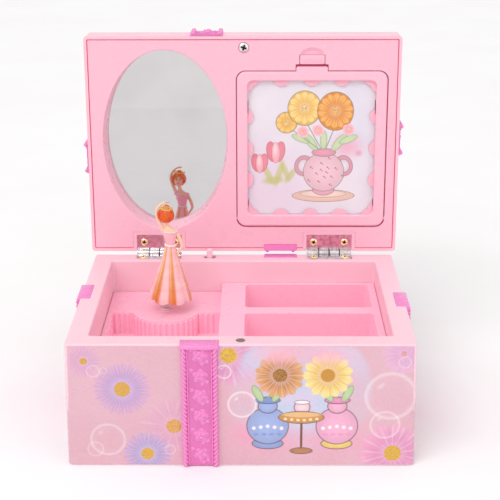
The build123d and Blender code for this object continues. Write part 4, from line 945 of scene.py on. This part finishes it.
def build_film():
    flat, ends = Sketch(), Sketch()
    front_print(flat)
    side_print(ends)
    path = film_path()
    paints, chosen = [], {}

    def paint_for(wall, u, level):
        is_end = wall % 2 == 1
        cuts = (-FAR, *(END_CUTS if is_end else FLAT_CUTS), FAR)
        col = max(k for k in range(len(cuts) - 1) if cuts[k] <= u + 1e-6)
        key = (is_end, col, min(level, 5))
        if key not in chosen:
            chosen[key] = len(paints)
            lo = (cuts[col] - 0.2, LEVELS[key[2]] - 0.2)
            hi = (cuts[col + 1] + 0.2, LEVELS[key[2] + 1] + 0.6)
            name = f"printed_film_{'end' if is_end else 'flat'}_{col}_{key[2]}"
            paints.append(film_tile(name, ends if is_end else flat, lo, hi, is_end))
        return chosen[key]

    n, rows = len(path), len(LEVELS)
    verts, faces, kinds = [], [], []
    for inset in (0.0, FILM_T):
        for z in LEVELS:
            for wall, u, angle in path:
                x, y = film_point(wall, u, angle, inset, z)
                dip = wall == 2 and u is not None and any(abs(-u - hx) < 12.61 for hx in HINGE_X)
                verts.append((x, y, min(z, LEVELS[-2]) if dip else z))
    inner = rows * n
    for j in range(rows - 1):
        for k, (wall, u, angle) in enumerate(path):
            kinds += [paint_for(wall, u if u is not None else 80.0, j)] * 2
            a, b = j * n + k, j * n + (k + 1) % n
            faces += [(a, b, b + n, a + n), (inner + b, inner + a, inner + a + n, inner + b + n)]
    t = (rows - 1) * n
    for k in range(n):
        b = (k + 1) % n
        kinds += [kinds[0]] * 2
        faces += [(b, k, inner + k, inner + b), (t + k, t + b, inner + t + b, inner + t + k)]
    obj = add_mesh("film_round_base", (verts, faces), paints[0], "base", "printed_sleeve", smooth=30.0)
    more_paints(obj, kinds, paints[1:])


build_film()


# ---------- dancer
DANCER_AT = (Matrix.Translation((*SPINDLE, FOOT_Z)) @ Matrix.Rotation(radians(DANCER_LEAN), 4, "Y"))


def lerp(table, z):
    """Linear blend of the rows of TABLE, whose first column rises."""
    for a, b in zip(table, table[1:]):
        if z <= b[0]:
            t = max(0.0, (z - a[0]) / (b[0] - a[0]))
            t = t * t * (3 - 2 * t) * 0.4 + t * 0.6
            return [p + (q - p) * t for p, q in zip(a[1:], b[1:])]
    return list(table[-1][1:])


FLUTES = 7
GOWN = [  # height, centre x, radius across x, radius across y, depth of the flutes
    (6.2, 2.1, 10.7, 10.3, 0.95), (8.0, 2.1, 10.5, 10.1, 0.95), (13.0, 1.95, 9.0, 8.6, 0.82),
    (19.0, 1.7, 7.0, 6.7, 0.62),
    (25.0, 1.4, 5.1, 4.9, 0.42), (30.0, 1.05, 3.7, 3.4, 0.24), (34.0, 0.8, 2.75, 2.35, 0.10)]


def flute(angle):
    """Deep rounded pleats: 1 on a ridge, 0 in the valley between."""
    return abs(cos(FLUTES * (angle - 1.63) / 2)) ** 0.75


def gown_mesh():
    sides, rows, verts = 216, 70, []
    top, low = 34.6, GOWN[0][0]
    for j in range(rows + 1):
        z = low + (top - low) * (j / rows)
        cx, rx, ry, deep = lerp(GOWN, z)
        for a in around(sides):
            f = flute(a)
            out = (f - 0.62) * deep
            flick = max(0.0, 1 - (z - low) / 5.0)
            out += 0.5 * flick ** 2 * (f - 0.3) + 0.05 * sin(3 * a + z * 0.25)
            drop = -0.9 * flick ** 1.5 * (f - 0.5)
            verts.append((cx + (rx + out) * cos(a), (ry + out) * sin(a), z + drop))
    faces = walls(rows + 1, sides) + [cap(rows * sides, sides)]
    # the inside of the skirt: a rolled hem, then up under the cloth
    last, cx = 0, 2.1
    for inset, up in ((0.35, -0.12), (0.8, 0.1), (1.05, 1.0), (1.6, 4.0), (3.4, 8.0)):
        ring = len(verts)
        for x, y, z in verts[:sides]:
            d = hypot(x - cx, y)
            s = (d - inset) / d
            verts.append((cx + (x - cx) * s, y * s, z + up))
        for k in range(sides):
            n = (k + 1) % sides
            faces.append((last + n, last + k, ring + k, ring + n))
        last = ring
    faces.append(cap(last, sides, False))
    return verts, faces


def rings_mesh(table, sides=40, bulge=None):
    """A closed body lofted through (z, cx, cy, rx, ry) rows with smooth steps between them."""
    steps, verts = 44, []
    for j in range(steps + 1):
        z = table[0][0] + (table[-1][0] - table[0][0]) * j / steps
        cx, cy, rx, ry = lerp(table, z)
        for a in around(sides):
            verts.append((cx + rx * cos(a), cy + ry * sin(a) + (bulge(a, z) if bulge else 0.0), z))
    return verts, walls(steps + 1, sides) + [cap(0, sides, False), cap(steps * sides, sides)]


def ball(centre, radii, rings=8, sides=12, shape=lambda n: 1.0):
    """A closed egg; SHAPE scales it by direction."""
    verts = []

    def put(n):
        s = shape(n)
        verts.append(tuple(c + r * x * s for c, r, x in zip(centre, radii, n)))
    for j in range(1, rings):
        b = pi * j / rings
        for a in around(sides):
            put(Vector((sin(b) * cos(a), sin(b) * sin(a), cos(b))))
    top = len(verts)
    put(Vector((0, 0, 1)))
    put(Vector((0, 0, -1)))
    faces = walls(rings - 1, sides, outward=False)
    last = (rings - 2) * sides
    for k in range(sides):
        n = (k + 1) % sides
        faces += [(top, k, n), (top + 1, last + n, last + k)]
    return verts, faces


def spline(points, steps):
    """Catmull-Rom curve through POINTS (each x, y, z, radius)."""
    out = []
    pts = [points[0], *points, points[-1]]
    for i in range(1, len(pts) - 2):
        p0, p1, p2, p3 = (np.array(pts[j], float) for j in (i - 1, i, i + 1, i + 2))
        for k in range(steps):
            t = k / steps
            out.append(0.5 * ((2 * p1) + (p2 - p0) * t + (2 * p0 - 5 * p1 + 4 * p2 - p3) * t ** 2
                              + (3 * p1 - p0 - 3 * p2 + p3) * t ** 3))
    out.append(np.array(points[-1], float))
    return out


def painted(name, colour, deep, rough, sss=0.2):
    return moulded(name, colour, deep, rough=rough, sss=sss, mottle=0.12, grain=0.12)


def gown_paint():
    """Satin pink with five gold-orange flutes that fade at their edges, brushed on by hand."""
    m = Paint("dancer_gown", IOR=1.47, Specular_IOR_Level=0.55)
    x, y, z = m.xyz()
    # back to the figure's own upright frame
    lean = radians(DANCER_LEAN)
    up = (x - SPINDLE[0]) * sin(lean) + (z - FOOT_Z) * cos(lean)
    across = (x - SPINDLE[0]) * cos(lean) - (z - FOOT_Z) * sin(lean) - (up * -0.055 + 2.6)
    angle = (y - SPINDLE[1]).op("ARCTAN2", across)
    wobble = m.noise(0.35, 3.0, 0.6)
    out = m.mix(m.cloudy(0.10, 0.35, 0.7, 0.0, 1.0, 2.0, 0.5), "#FDCFD0", "#FBC0C0")
    out = m.mix(m.ramp(up, 26.0, 36.0, 0.0, 0.55), out, "#FBC0C6")
    for centre, wide, power in ((-1.39, 0.26, 1.0), (-2.33, 0.34, 1.0), (-0.22, 0.20, 0.8), (0.90, 0.30, 0.9),
                                (2.10, 0.30, 0.9)):
        off = (angle - centre).abs() + (wobble - 0.5) * 0.05
        off = off.min((angle - centre - 2 * pi).abs()).min((angle - centre + 2 * pi).abs())
        band_in = m.ramp(off, wide * 0.45, wide * 1.1, power, 0.0)
        out = m.mix(band_in, out, m.mix(m.ramp(up, 6.0, 30.0), "#DE8038", "#E8A067"))
        # painted highlight: a pale stripe along one side of each gold band
        glint = m.ramp((angle - centre + wide * 0.35).abs(), 0.0, wide * 0.4, 0.75 * power, 0.0)
        out = m.mix(glint * m.ramp(up, 8.0, 26.0, 0.35, 1.0), out, "#FBD9A8")
    m.set("Base Color", out)
    m.set("Roughness", m.cloudy(0.5, 0.3, 0.7, 0.22, 0.36))
    m.bump(m.noise(0.8, 2.0, 0.5), 0.06, 0.00006)
    m.soft(0.2, 0.003, 0.0015, 0.0012)
    m.set("Subsurface Scale", 1.0)
    return m


def hair_paint():
    m = Paint("dancer_hair", IOR=1.47, Specular_IOR_Level=0.6)
    strands = m.noise(0.9, 4.0, 0.65, distort=1.2)
    base = m.mix(m.cloudy(0.25, 0.3, 0.7, 0.0, 1.0, 2.0, 0.5), "#EC6A1E", "#D9480F")
    m.set("Base Color", m.mix(m.ramp(strands, 0.45, 0.75, 0.0, 0.55), base, "#F9A23C"))
    m.set("Roughness", m.ramp(strands, 0.3, 0.7, 0.24, 0.42))
    m.bump(strands, 0.35, 0.0001)
    m.soft(0.1, 0.002, 0.0008, 0.0005)
    return m


def add_part(name, shape, paint, smooth=60.0):
    add_mesh("dancer_" + name, shape, paint, "dancer", "dancer", DANCER_AT, smooth)


def build_dancer():
    skin = painted("dancer_skin", "#FBD3B4", "#F6BE9A", 0.34, 0.3)
    bodice = painted("dancer_bodice", "#FCC3CB", "#F8ABB4", 0.27)
    belt = painted("dancer_belt", "#FFF3F1", "#FBD9D9", 0.25)
    hair = hair_paint()
    gold = metal("dancer_tiara", "#F4D98C", "#B98A3A", 0.24, 0.3, 0.3)
    eyes = painted("dancer_face_paint", "#4A2A20", "#2E1813", 0.3, 0.0)
    lips = painted("dancer_lips", "#D9485A", "#B8304A", 0.3, 0.1)
    add_part("gown", gown_mesh(), gown_paint(), smooth=70.0)

    # peg inside the skirt that the spring holds
    peg = [(0, 0, 8.2, 2.5), (0, 0, 9.4, 2.7), (0.2, 0, 14.0, 2.7), (0.5, 0, 18.0, 2.6)]
    add_part("socket", thread(peg, 28), bodice)

    def past(angle):
        """ANGLE brought to between -pi and pi."""
        return (angle + pi) % (2 * pi) - pi

    def chest(a, z):
        bust = 0.0
        for side in (-1, 1):
            d = hypot(past(a - pi / 2 - side * 0.55), (z - 40.2) / 1.9)
            bust += 0.75 * exp(-d * d * 2.2)
        spine = 0.16 * exp(-(past(a + pi / 2) ** 2) * 14) * exp(-((z - 39) / 3.5) ** 2)
        return bust + spine

    bodice_rows = [(34.0, 0.80, 0, 2.55, 2.15), (35.2, 0.70, 0, 2.35, 2.0), (37.2, 0.50, 0, 2.75, 2.15),
                   (39.6, 0.25, 0, 3.35, 2.35), (41.2, 0.10, 0, 3.55, 2.3), (42.0, 0.0, 0, 3.5, 2.2)]
    add_part("bodice", rings_mesh(bodice_rows, 56, chest), bodice)
    skin_rows = [(41.2, 0.10, 0, 3.30, 2.1), (42.4, -0.10, 0, 3.45, 2.0), (43.3, -0.40, 0, 2.95, 1.75),
                 (44.1, -0.75, 0.05, 1.9, 1.4), (44.9, -1.1, 0.1, 1.15, 1.1), (46.2, -1.6, 0.2, 1.0, 1.0),
                 (48.0, -2.1, 0.3, 1.15, 1.1)]
    add_part("shoulders", rings_mesh(skin_rows, 40), skin)
    loop = [(0.78 + 2.62 * cos(a), 2.2 * sin(a), 34.75) for a in around(48)]
    add_part("belt", tube(loop, 0.42, 10, closed=True), belt)
    edge = [(0.02 + 3.62 * cos(a), 2.32 * sin(a) + 0.5 * max(0.0, sin(a)) ** 2,
             42.0 - 0.45 * abs(cos(a)) ** 3 + 0.2 * sin(2 * a) ** 2) for a in around(56)]
    add_part("neckline", tube(edge, 0.26, 8, closed=True), belt)
    # puffed shoulder straps
    for side, at in ((-1, (-3.35, 0.0, 42.3)), (1, (3.25, 0.0, 42.2))):
        add_part(f"sleeve_{'left' if side < 0 else 'right'}", ball(at, (1.35, 1.4, 1.15), 14, 20), bodice)

    # arms
    raised = [(-3.1, 0.0, 42.4, 0.95), (-4.5, -0.2, 44.9, 0.98), (-6.3, -0.4, 48.6, 0.86), (-7.1, -0.5, 51.4, 0.78),
              (-6.6, -0.6, 54.2, 0.70), (-4.9, -0.8, 56.6, 0.58), (-3.4, -0.9, 57.5, 0.46)]
    lowered = [(3.0, 0.0, 42.3, 0.98), (4.6, -0.1, 39.9, 1.0), (5.9, -0.3, 37.3, 0.9), (6.6, -0.5, 34.9, 0.82),
               (6.1, -0.7, 33.0, 0.70), (5.2, -0.9, 31.6, 0.56)]
    for name, arm in (("raised", raised), ("lowered", lowered)):
        add_part(f"arm_{name}", thread(spline(arm, 8), 16), skin)
    # hands: a flat palm, four fingers and a thumb
    hands = (("raised", Vector((-3.0, -0.95, 57.7)), Vector((0.92, -0.10, 0.18)), Vector((0.1, 0.75, -0.6))),
             ("lowered", Vector((4.9, -1.0, 31.2)), Vector((-0.42, -0.22, -0.88)), Vector((-0.5, 0.8, 0.1))))
    for name, palm, way, side in hands:
        way, side = way.normalized(), side.normalized()
        pile = Pile()
        pile.add(ball(palm, (0.72, 0.5, 0.5), 10, 14))
        for k in range(4):
            start = palm + side * (0.36 * (k - 1.5) * 0.62) + way * 0.3
            end = start + way * (1.75 - 0.12 * abs(k - 1.4)) + side * (0.10 * (k - 1.5))
            mid = (start + end) / 2 + side.cross(way) * 0.12
            pile.add(tube([start, mid, end], [0.25, 0.22, 0.13], 8))
        thumb = palm - side * 0.45
        pile.add(tube([thumb, thumb + way * 0.5 - side * 0.35, thumb + way * 1.1 - side * 0.4], [0.24, 0.2, 0.12], 8))
        add_part(f"hand_{name}", pile.shape(), skin)

    # head: the face looks to the back of the box, so its front shows in the mirror
    head = Vector((-2.3, 0.35, 50.3))

    def skull(n):
        chin = 0.16 * max(0.0, -n.z) ** 2 * max(0.0, n.y)
        cheek = -0.14 * max(0.0, -n.z - 0.15) * abs(n.x)
        return 1.0 + chin + cheek

    add_part("head", ball(head, (3.05, 3.3, 3.75), 28, 36, skull), skin)
    pile = Pile()
    pile.add(ball(head + Vector((0, 3.35, -0.5)), (0.36, 0.5, 0.55)))
    for side in (-1, 1):
        pile.add(ball(head + Vector((side * 3.0, 0.1, -0.5)), (0.35, 0.55, 0.8)))
    add_part("nose_and_ears", pile.shape(), skin)
    pile = Pile()
    for side in (-1, 1):
        pile.add(ball(head + Vector((side * 1.12, 3.02, 0.25)), (0.42, 0.18, 0.30)))
        brow = [head + Vector(v) for v in ((side * 0.6, 3.05, 1.05), (side * 1.2, 3.0, 1.32), (side * 1.8, 2.62, 1.1))]
        pile.add(tube(brow, [0.08, 0.13, 0.06], 6))
    add_part("eyes", pile.shape(), eyes)
    add_part("mouth", ball(head + Vector((0, 3.16, -1.75)), (0.55, 0.2, 0.22)), lips)

    # hair swept up into a knot
    def hair_form(n):
        wave = 0.035 * sin(9 * atan2(n.x, -n.y) + 5 * n.z) + 0.02 * sin(17 * n.z + 4 * n.x)
        face = 0.30 * max(0.0, n.y - 0.42) * max(0.0, min(1.0, 0.75 - n.z))
        nape = -0.18 * max(0.0, -n.z - 0.35) * max(0.0, -n.y)
        return 1.0 + wave - face - nape

    add_part("hair", ball(head + Vector((0.05, -0.65, 0.55)), (4.15, 3.9, 4.0), 44, 64, hair_form), hair)
    pile = Pile()
    crown = head + Vector((0.1, -0.9, 4.0))
    pile.add(ball(crown, (2.3, 2.0, 1.4), 16, 24, lambda n: 1 + 0.05 * sin(7 * atan2(n.y, n.x) + 3 * n.z)))
    coil = []
    for k in range(60):
        a = 0.42 * k
        r = 1.9 - 0.024 * k
        coil.append((crown.x + r * cos(a), crown.y + r * 0.9 * sin(a), crown.z + 0.35 + 0.022 * k, 0.36))
    pile.add(thread(coil))
    for k in range(9):
        a = -pi * (0.08 + 0.84 * k / 8)
        strand = []
        for j in range(9):
            t = j / 8
            polar = 0.35 + 1.75 * (1 - t)
            strand.append((head.x + 0.05 + 4.22 * sin(polar) * cos(a), head.y - 0.65 + 3.98 * sin(polar) * sin(a),
                           head.z + 0.55 + 4.08 * cos(polar), 0.16 + 0.10 * sin(pi * t)))
        pile.add(thread(strand))
    add_part("updo", pile.shape(), hair)

    # tiara of small points and beads round the knot
    pile = Pile()
    ring, centre = [], head + Vector((0.15, -1.0, 4.05))
    for a in around(40):
        ring.append((centre.x + 2.75 * cos(a), centre.y + 2.35 * sin(a), centre.z - 0.1 + 0.25 * sin(a)))
    pile.add(tube(ring, 0.26, 8, closed=True))
    for k in range(11):
        a = pi * (1.02 + 0.96 * k / 10)
        tall = 1.7 - 0.9 * abs(k - 5) / 5
        foot = Vector((centre.x + 2.75 * cos(a), centre.y + 2.35 * sin(a), centre.z - 0.1))
        tip = foot + Vector((0.25 * cos(a), 0.25 * sin(a), tall))
        pile.add(tube([foot, (foot + tip) / 2, tip], [0.3, 0.22, 0.12], 7))
        pile.add(ball(tip + Vector((0, 0, 0.1)), (0.3, 0.3, 0.3), 7, 10))
        pile.add(ball(foot + Vector((0.12 * cos(a), 0.12 * sin(a), 0.35)), (0.3, 0.3, 0.3), 7, 10))
    add_part("tiara", pile.shape(), gold)
dress_pink = painted("dancer_dress", "#FCC6CB", "#F9B4B6", 0.27)
build_dancer()


# ---------- the dancer's coil spring
def coil_path(radius, z0, z1, turns, x=0.0, y=0.0):
    steps, pts = 28, []
    for k in range(int(turns * steps) + 1):
        t = k / (turns * steps)
        a = 2 * pi * turns * t
        pts.append((x + radius * cos(a), y + radius * sin(a), z0 + (z1 - z0) * t))
    return pts


def build_coil():
    low, high, grip = 0.35, 11.4, 9.4
    shape = tube(coil_path(1.75, low, high, 8.0), 0.34, 12)
    obj = add_mesh("dancer_spring_coil", shape, bright_wire, "dancer_mount", "dancer_spring", DANCER_AT)
    obj.parent = None
    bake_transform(obj)


bright_wire = metal("bright_wire", "#F4EFEE", "#B0A8A8", 0.12, 0.2, 0.3)
build_coil()


# ---------- screws with a cut cross, rings of the hinge barrels; the dark crosses and the dark rings at the barrel joints are painted shade
def pan_head(r, h, arm, wide, depth, shank_r, length):
    """A domed head with a cross recess on +Z and a pointed shank; faces of the recess are kind 1."""
    rings, sides = 26, 72
    verts, pits = [(0, 0, h - depth)], [1.0]

    def surface(x, y):
        far = hypot(x, y)
        z = h * (1 - (far / r) ** 3.2) ** 0.6 if far < r else 0.0
        a = atan2(y, x) + radians(18)
        u, v = far * cos(a), far * sin(a)
        pit = 0.0
        for p, q in ((u, v), (v, u)):
            edge = min((arm - abs(p)) / (0.25 * arm), (wide - abs(q)) / (0.35 * wide))
            pit = max(pit, max(0.0, min(1.0, edge)))
        return z - depth * pit, pit

    for j in range(1, rings + 1):
        rho = r * j / rings
        for a in around(sides):
            z, pit = surface(rho * cos(a), rho * sin(a))
            verts.append((rho * cos(a), rho * sin(a), z))
            pits.append(pit)
    faces = [(0, 1 + k, 1 + (k + 1) % sides) for k in range(sides)]
    quads = walls(rings, sides, 1, outward=False)
    kinds = [1] * sides + [1 if pits[a] + pits[d] + pits[b] > 1.2 else 0 for a, b, c, d in quads]
    last = 1 + (rings - 1) * sides
    for rho, z in ((r, -0.12), (shank_r, -0.3), (shank_r, -length + 1.2), (0.25, -length)):
        verts += [(rho * cos(a), rho * sin(a), z) for a in around(sides)]
    faces += quads + walls(5, sides, last, outward=False)
    faces.append(cap(last + 4 * sides, sides, False))
    return verts, faces, kinds + [0] * (4 * sides + 1)


def put_screws(node, spots, size, paint, recess_shade_paint, body, turned=False):
    """Screws at SPOTS in the place of NODE, their heads down where TURNED."""
    pile = Pile()
    kinds = []
    for spot in spots:
        verts, faces, own = pan_head(*size)
        pile.add((verts, faces), spot, Matrix.Rotation(pi, 3, "X") if turned else None)
        kinds += own
    obj = add_mesh(node + "_cross", pile.shape(), paint, body, node, OPEN if turned else None, 40.0)
    # the recess faces take the painted shade
    more_paints(obj, kinds, [recess_shade_paint])


def barrel_rings(xs, r0, r1, width):
    """Rings with softened edges round the hinge axis."""
    pile = Pile()
    profile = [(-width / 2, r0), (-width / 2, r1 - 0.08), (-width / 2 + 0.08, r1), (width / 2 - 0.08, r1),
               (width / 2, r1 - 0.08), (width / 2, r0)]
    for x in xs:
        verts = [(x + dx, AXIS_Y + r * cos(a), AXIS_Z + r * sin(a)) for dx, r in profile for a in around(48)]
        pile.add((verts, walls(len(profile), 48, joined=True)))
    return pile.shape()


def build_metalwork():
    # painted shade: the cross recesses of the screws take a near-black metal
    pit = metal("recess_painted_shade", "#3A3230", "#1E1817", 0.5, 0.4, 0.5)
    cream = metal("brass_heads", "#FFE9B4", "#C99A4C", 0.22, 0.3, 0.45)
    bright = metal("catch_head", "#E9E6E4", "#9A9594", 0.22, 0.3, 0.35)
    # radius and height of the head, arm, width and depth of its cross, shank radius, length
    small, large = (1.95, 0.52, 1.15, 0.36, 0.42, 0.85, 5.6), (2.7, 1.05, 1.5, 0.48, 0.8, 1.25, 9.0)
    across = [hx + side * SCREW_X for hx in HINGE_X for side in (-1, 1)]
    base_at = [(x, 51.2, BASE_H + 0.62) for x in across]
    lid_at = [(x, LID_BACK - 4.5, AXIS_Z + 1.9 - 0.62) for x in across]
    put_screws("hinge_screws_base", base_at, small, cream, pit, "base")
    put_screws("hinge_screws_lid", lid_at, small, cream, pit, "lid", True)
    put_screws("catch_screw", [(0.5, LID_BACK - 109.1, PANEL_Z + 0.62)], large, bright, pit, "lid", True)
    # painted shade: near-black metal rings fill the joints between the knuckles, standing for the shade in their gaps
    joint_shade = metal("barrel_joint_shade", "#2E2A2B", "#151213", 0.35, 0.4, 0.4)
    bead = metal("barrel_bead", "#D8D4D2", "#8A8482", 0.16, 0.3, 0.3)
    for side, hx in zip(("left", "right"), HINGE_X):
        x0, x1 = hx - LEAF_W / 2, hx + LEAF_W / 2
        joint_shade_rings = barrel_rings((x0 + 6.2 + 0.12, x1 - 6.2 - 0.12), 1.25, 1.95, 0.62)
        beads = barrel_rings((x0 + 0.5, x1 - 0.5, x0 + 5.3, x1 - 5.3), 1.5, 1.99, 0.45)
        add_mesh(f"hinge_{side}_grooves", joint_shade_rings, joint_shade, "base", smooth=40.0)
        add_mesh(f"hinge_{side}_beads", beads, bead, "base", smooth=40.0)
        add_mesh(f"hinge_{side}_seam_shade", barrel_rings((hx,), 1.45, 1.95, 0.7), joint_shade, "lid", smooth=40.0)


build_metalwork()


# ---------- spring of the stop plunger, at one length (the real one gets shorter as the plunger goes down)
def build_plunger_spring():
    x, y, low, high = -18.1, 52.2, 30.0, 56.0
    shape = tube(coil_path(1.85, low, high, 10.0, x, y), 0.19, 10)
    obj = add_mesh("plunger_spring_coil", shape, wire_steel, "base", "plunger_spring")
    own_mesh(obj)


build_plunger_spring()


# ---------- dress the CAD nodes
film = film_tile("printed_film", Sketch(), (0, 0), (0, 0), False)
card = card_material()
mirror = Paint("mirror_glass", Metallic=1.0)
mirror.set("Base Color", mirror.mix(mirror.cloudy(0.03, 0.3, 0.7, 0.0, 1.0, 2.0, 0.5), "#DBD7D9", "#D3CFD1"))
mirror.set("Roughness", mirror.cloudy(0.08, 0.35, 0.75, 0.012, 0.05))

def lean_back(m, lean):
    """The glass leans back a little in its recess: its shading normal turns up the lid by LEAN degrees."""
    up = OPEN.to_3x3() @ Vector((0, -1, 0)) * tan(radians(lean))
    add = m.node("VectorMath", m.node("TexCoord").outputs["Normal"], up, operation="ADD")
    turn = m.node("VectorTransform", add.outputs[0], vector_type="NORMAL", convert_from="OBJECT", convert_to="WORLD")
    m.bump(m.noise(0.02, 1.0, 0.4), 0.05, 0.0004, normal=turn.outputs[0])


lean_back(mirror, 3.4)
clear = Paint("clear_sheet", IOR=1.2, Roughness=0.08, Transmission_Weight=1.0, Alpha=0.12)
clear.set("Base Color", clear.mix(clear.cloudy(0.2, 0.3, 0.7, 0.0, 1.0, 2.0, 0.5), "#FFFFFF", "#FBF8FC"))

DRESS = {
    shell_pink: ("base_shell", "bottom_plate", "stop_plunger"),
    tray_pink: ("compartment_tray",),
    panel_pink: ("lid_inner_panel",),
    lid_pink: ("lid_shell",),
    door_pink: ("photo_door", "door_latch"),
    border_pink: ("photo_border",),
    film: ("printed_sleeve",),
    top_print_material(): ("lid_top_print",),
    card: ("photo_card",),
    mirror: ("mirror",),
    clear: ("photo_window",),
    nickel: ("hinge_left_base_leaf", "hinge_left_lid_leaf", "hinge_right_base_leaf", "hinge_right_lid_leaf",
             "hinge_pins"),
    brass: ("hinge_screws_base", "hinge_screws_lid"),
    steel: ("catch_screw", "bottom_screws", "movement_screws", "comb_screws"),
    magnet_grey: ("catch_magnet",),
    cast: ("movement_bedplate",),
    machined: ("spring_drum", "governor_frame", "note_cylinder", "winding_key"),
    wire_steel: ("mainspring", "plunger_spring", "winding_arbor", "comb", "dancer_spring"),
    ivory: ("output_spindle", "governor_fly"),
    dress_pink: ("dancer",),
}
for paint, names in DRESS.items():
    for name in names:
        nodes[name].data.materials.clear()
        nodes[name].data.materials.append(paint.mat)


# ---------- floor, light and camera
def backdrop(size=30.0, low=-0.0002):
    """A plain pale floor, just under the box, in metres."""
    m = Paint("paper", Roughness=0.9, Specular_IOR_Level=0.1)
    m.set("Base Color", m.mix(m.cloudy(0.01, 0.3, 0.7, 0.0, 1.0, 2.0, 0.5), "#FFFFFF", "#FDFCFC"))
    mesh = bpy.data.meshes.new("floor")
    corners = [(-size, -size, low), (size, -size, low), (size, size, low), (-size, size, low)]
    mesh.from_pydata(corners, [], [(0, 1, 2, 3)])
    mesh.materials.append(m.mat)
    new_object("floor", mesh)


def sun(name, way, power, spread):
    """A broad, even light shining along WAY."""
    light = bpy.data.lights.new(name, "SUN")
    light.energy, light.angle = power, radians(spread)
    new_object(name, light).rotation_euler = Vector(way).to_track_quat("-Z", "Y").to_euler()


backdrop()
sun("key_left", (0.55, 0.62, -0.85), 0.80, 50)
sun("fill_right", (-0.75, 0.55, -0.55), 0.40, 70)

strip = bpy.data.lights.new("strip_box", "AREA")
strip.shape, strip.size, strip.size_y, strip.energy = "RECTANGLE", 0.42, 0.045, 0.8
strip_obj = new_object("strip_box", strip)
strip_obj.location = (-0.22, -0.42, 0.78)
strip_obj.rotation_euler = (Vector((0, 0.05, 0.06)) - strip_obj.location).to_track_quat("-Z", "Y").to_euler()

# the surroundings are a little brighter in reflections than as a light
WORLD_LIGHT, WORLD_REFLECTED = 0.72, 1.02
world = bpy.data.worlds.new("studio")
scene.world = world
world.use_nodes = True
tree = world.node_tree
background = tree.nodes["Background"]
background.inputs[0].default_value = (1.0, 0.99, 0.99, 1.0)
level = tree.nodes.new("ShaderNodeMapRange")
tree.links.new(tree.nodes.new("ShaderNodeLightPath").outputs["Is Glossy Ray"], level.inputs[0])
level.inputs[3].default_value = WORLD_LIGHT
level.inputs[4].default_value = WORLD_REFLECTED
tree.links.new(level.outputs[0], background.inputs[1])

camera = bpy.data.cameras.new("camera")
camera.sensor_width, camera.lens = 36.0, 84.65
camera_obj = new_object("camera", camera)
CAMERA_AT, PITCH, YAW, ROLL = (0.0087504, -0.5363155, 0.29123838), 0.36541, -0.00891, -0.00309
ahead = Vector((sin(YAW) * cos(PITCH), cos(YAW) * cos(PITCH), -sin(PITCH)))
right = Vector((cos(YAW), -sin(YAW), 0))
up = right.cross(ahead)
right, up = right * cos(ROLL) + up * sin(ROLL), up * cos(ROLL) - right * sin(ROLL)
camera_obj.matrix_world = Matrix.Translation(CAMERA_AT) @ Matrix((right, up, -ahead)).transposed().to_4x4()
scene.camera = camera_obj

view = scene.view_settings
view.view_transform, view.look, view.exposure, view.gamma = "Standard", "None", 0.0, 1.0
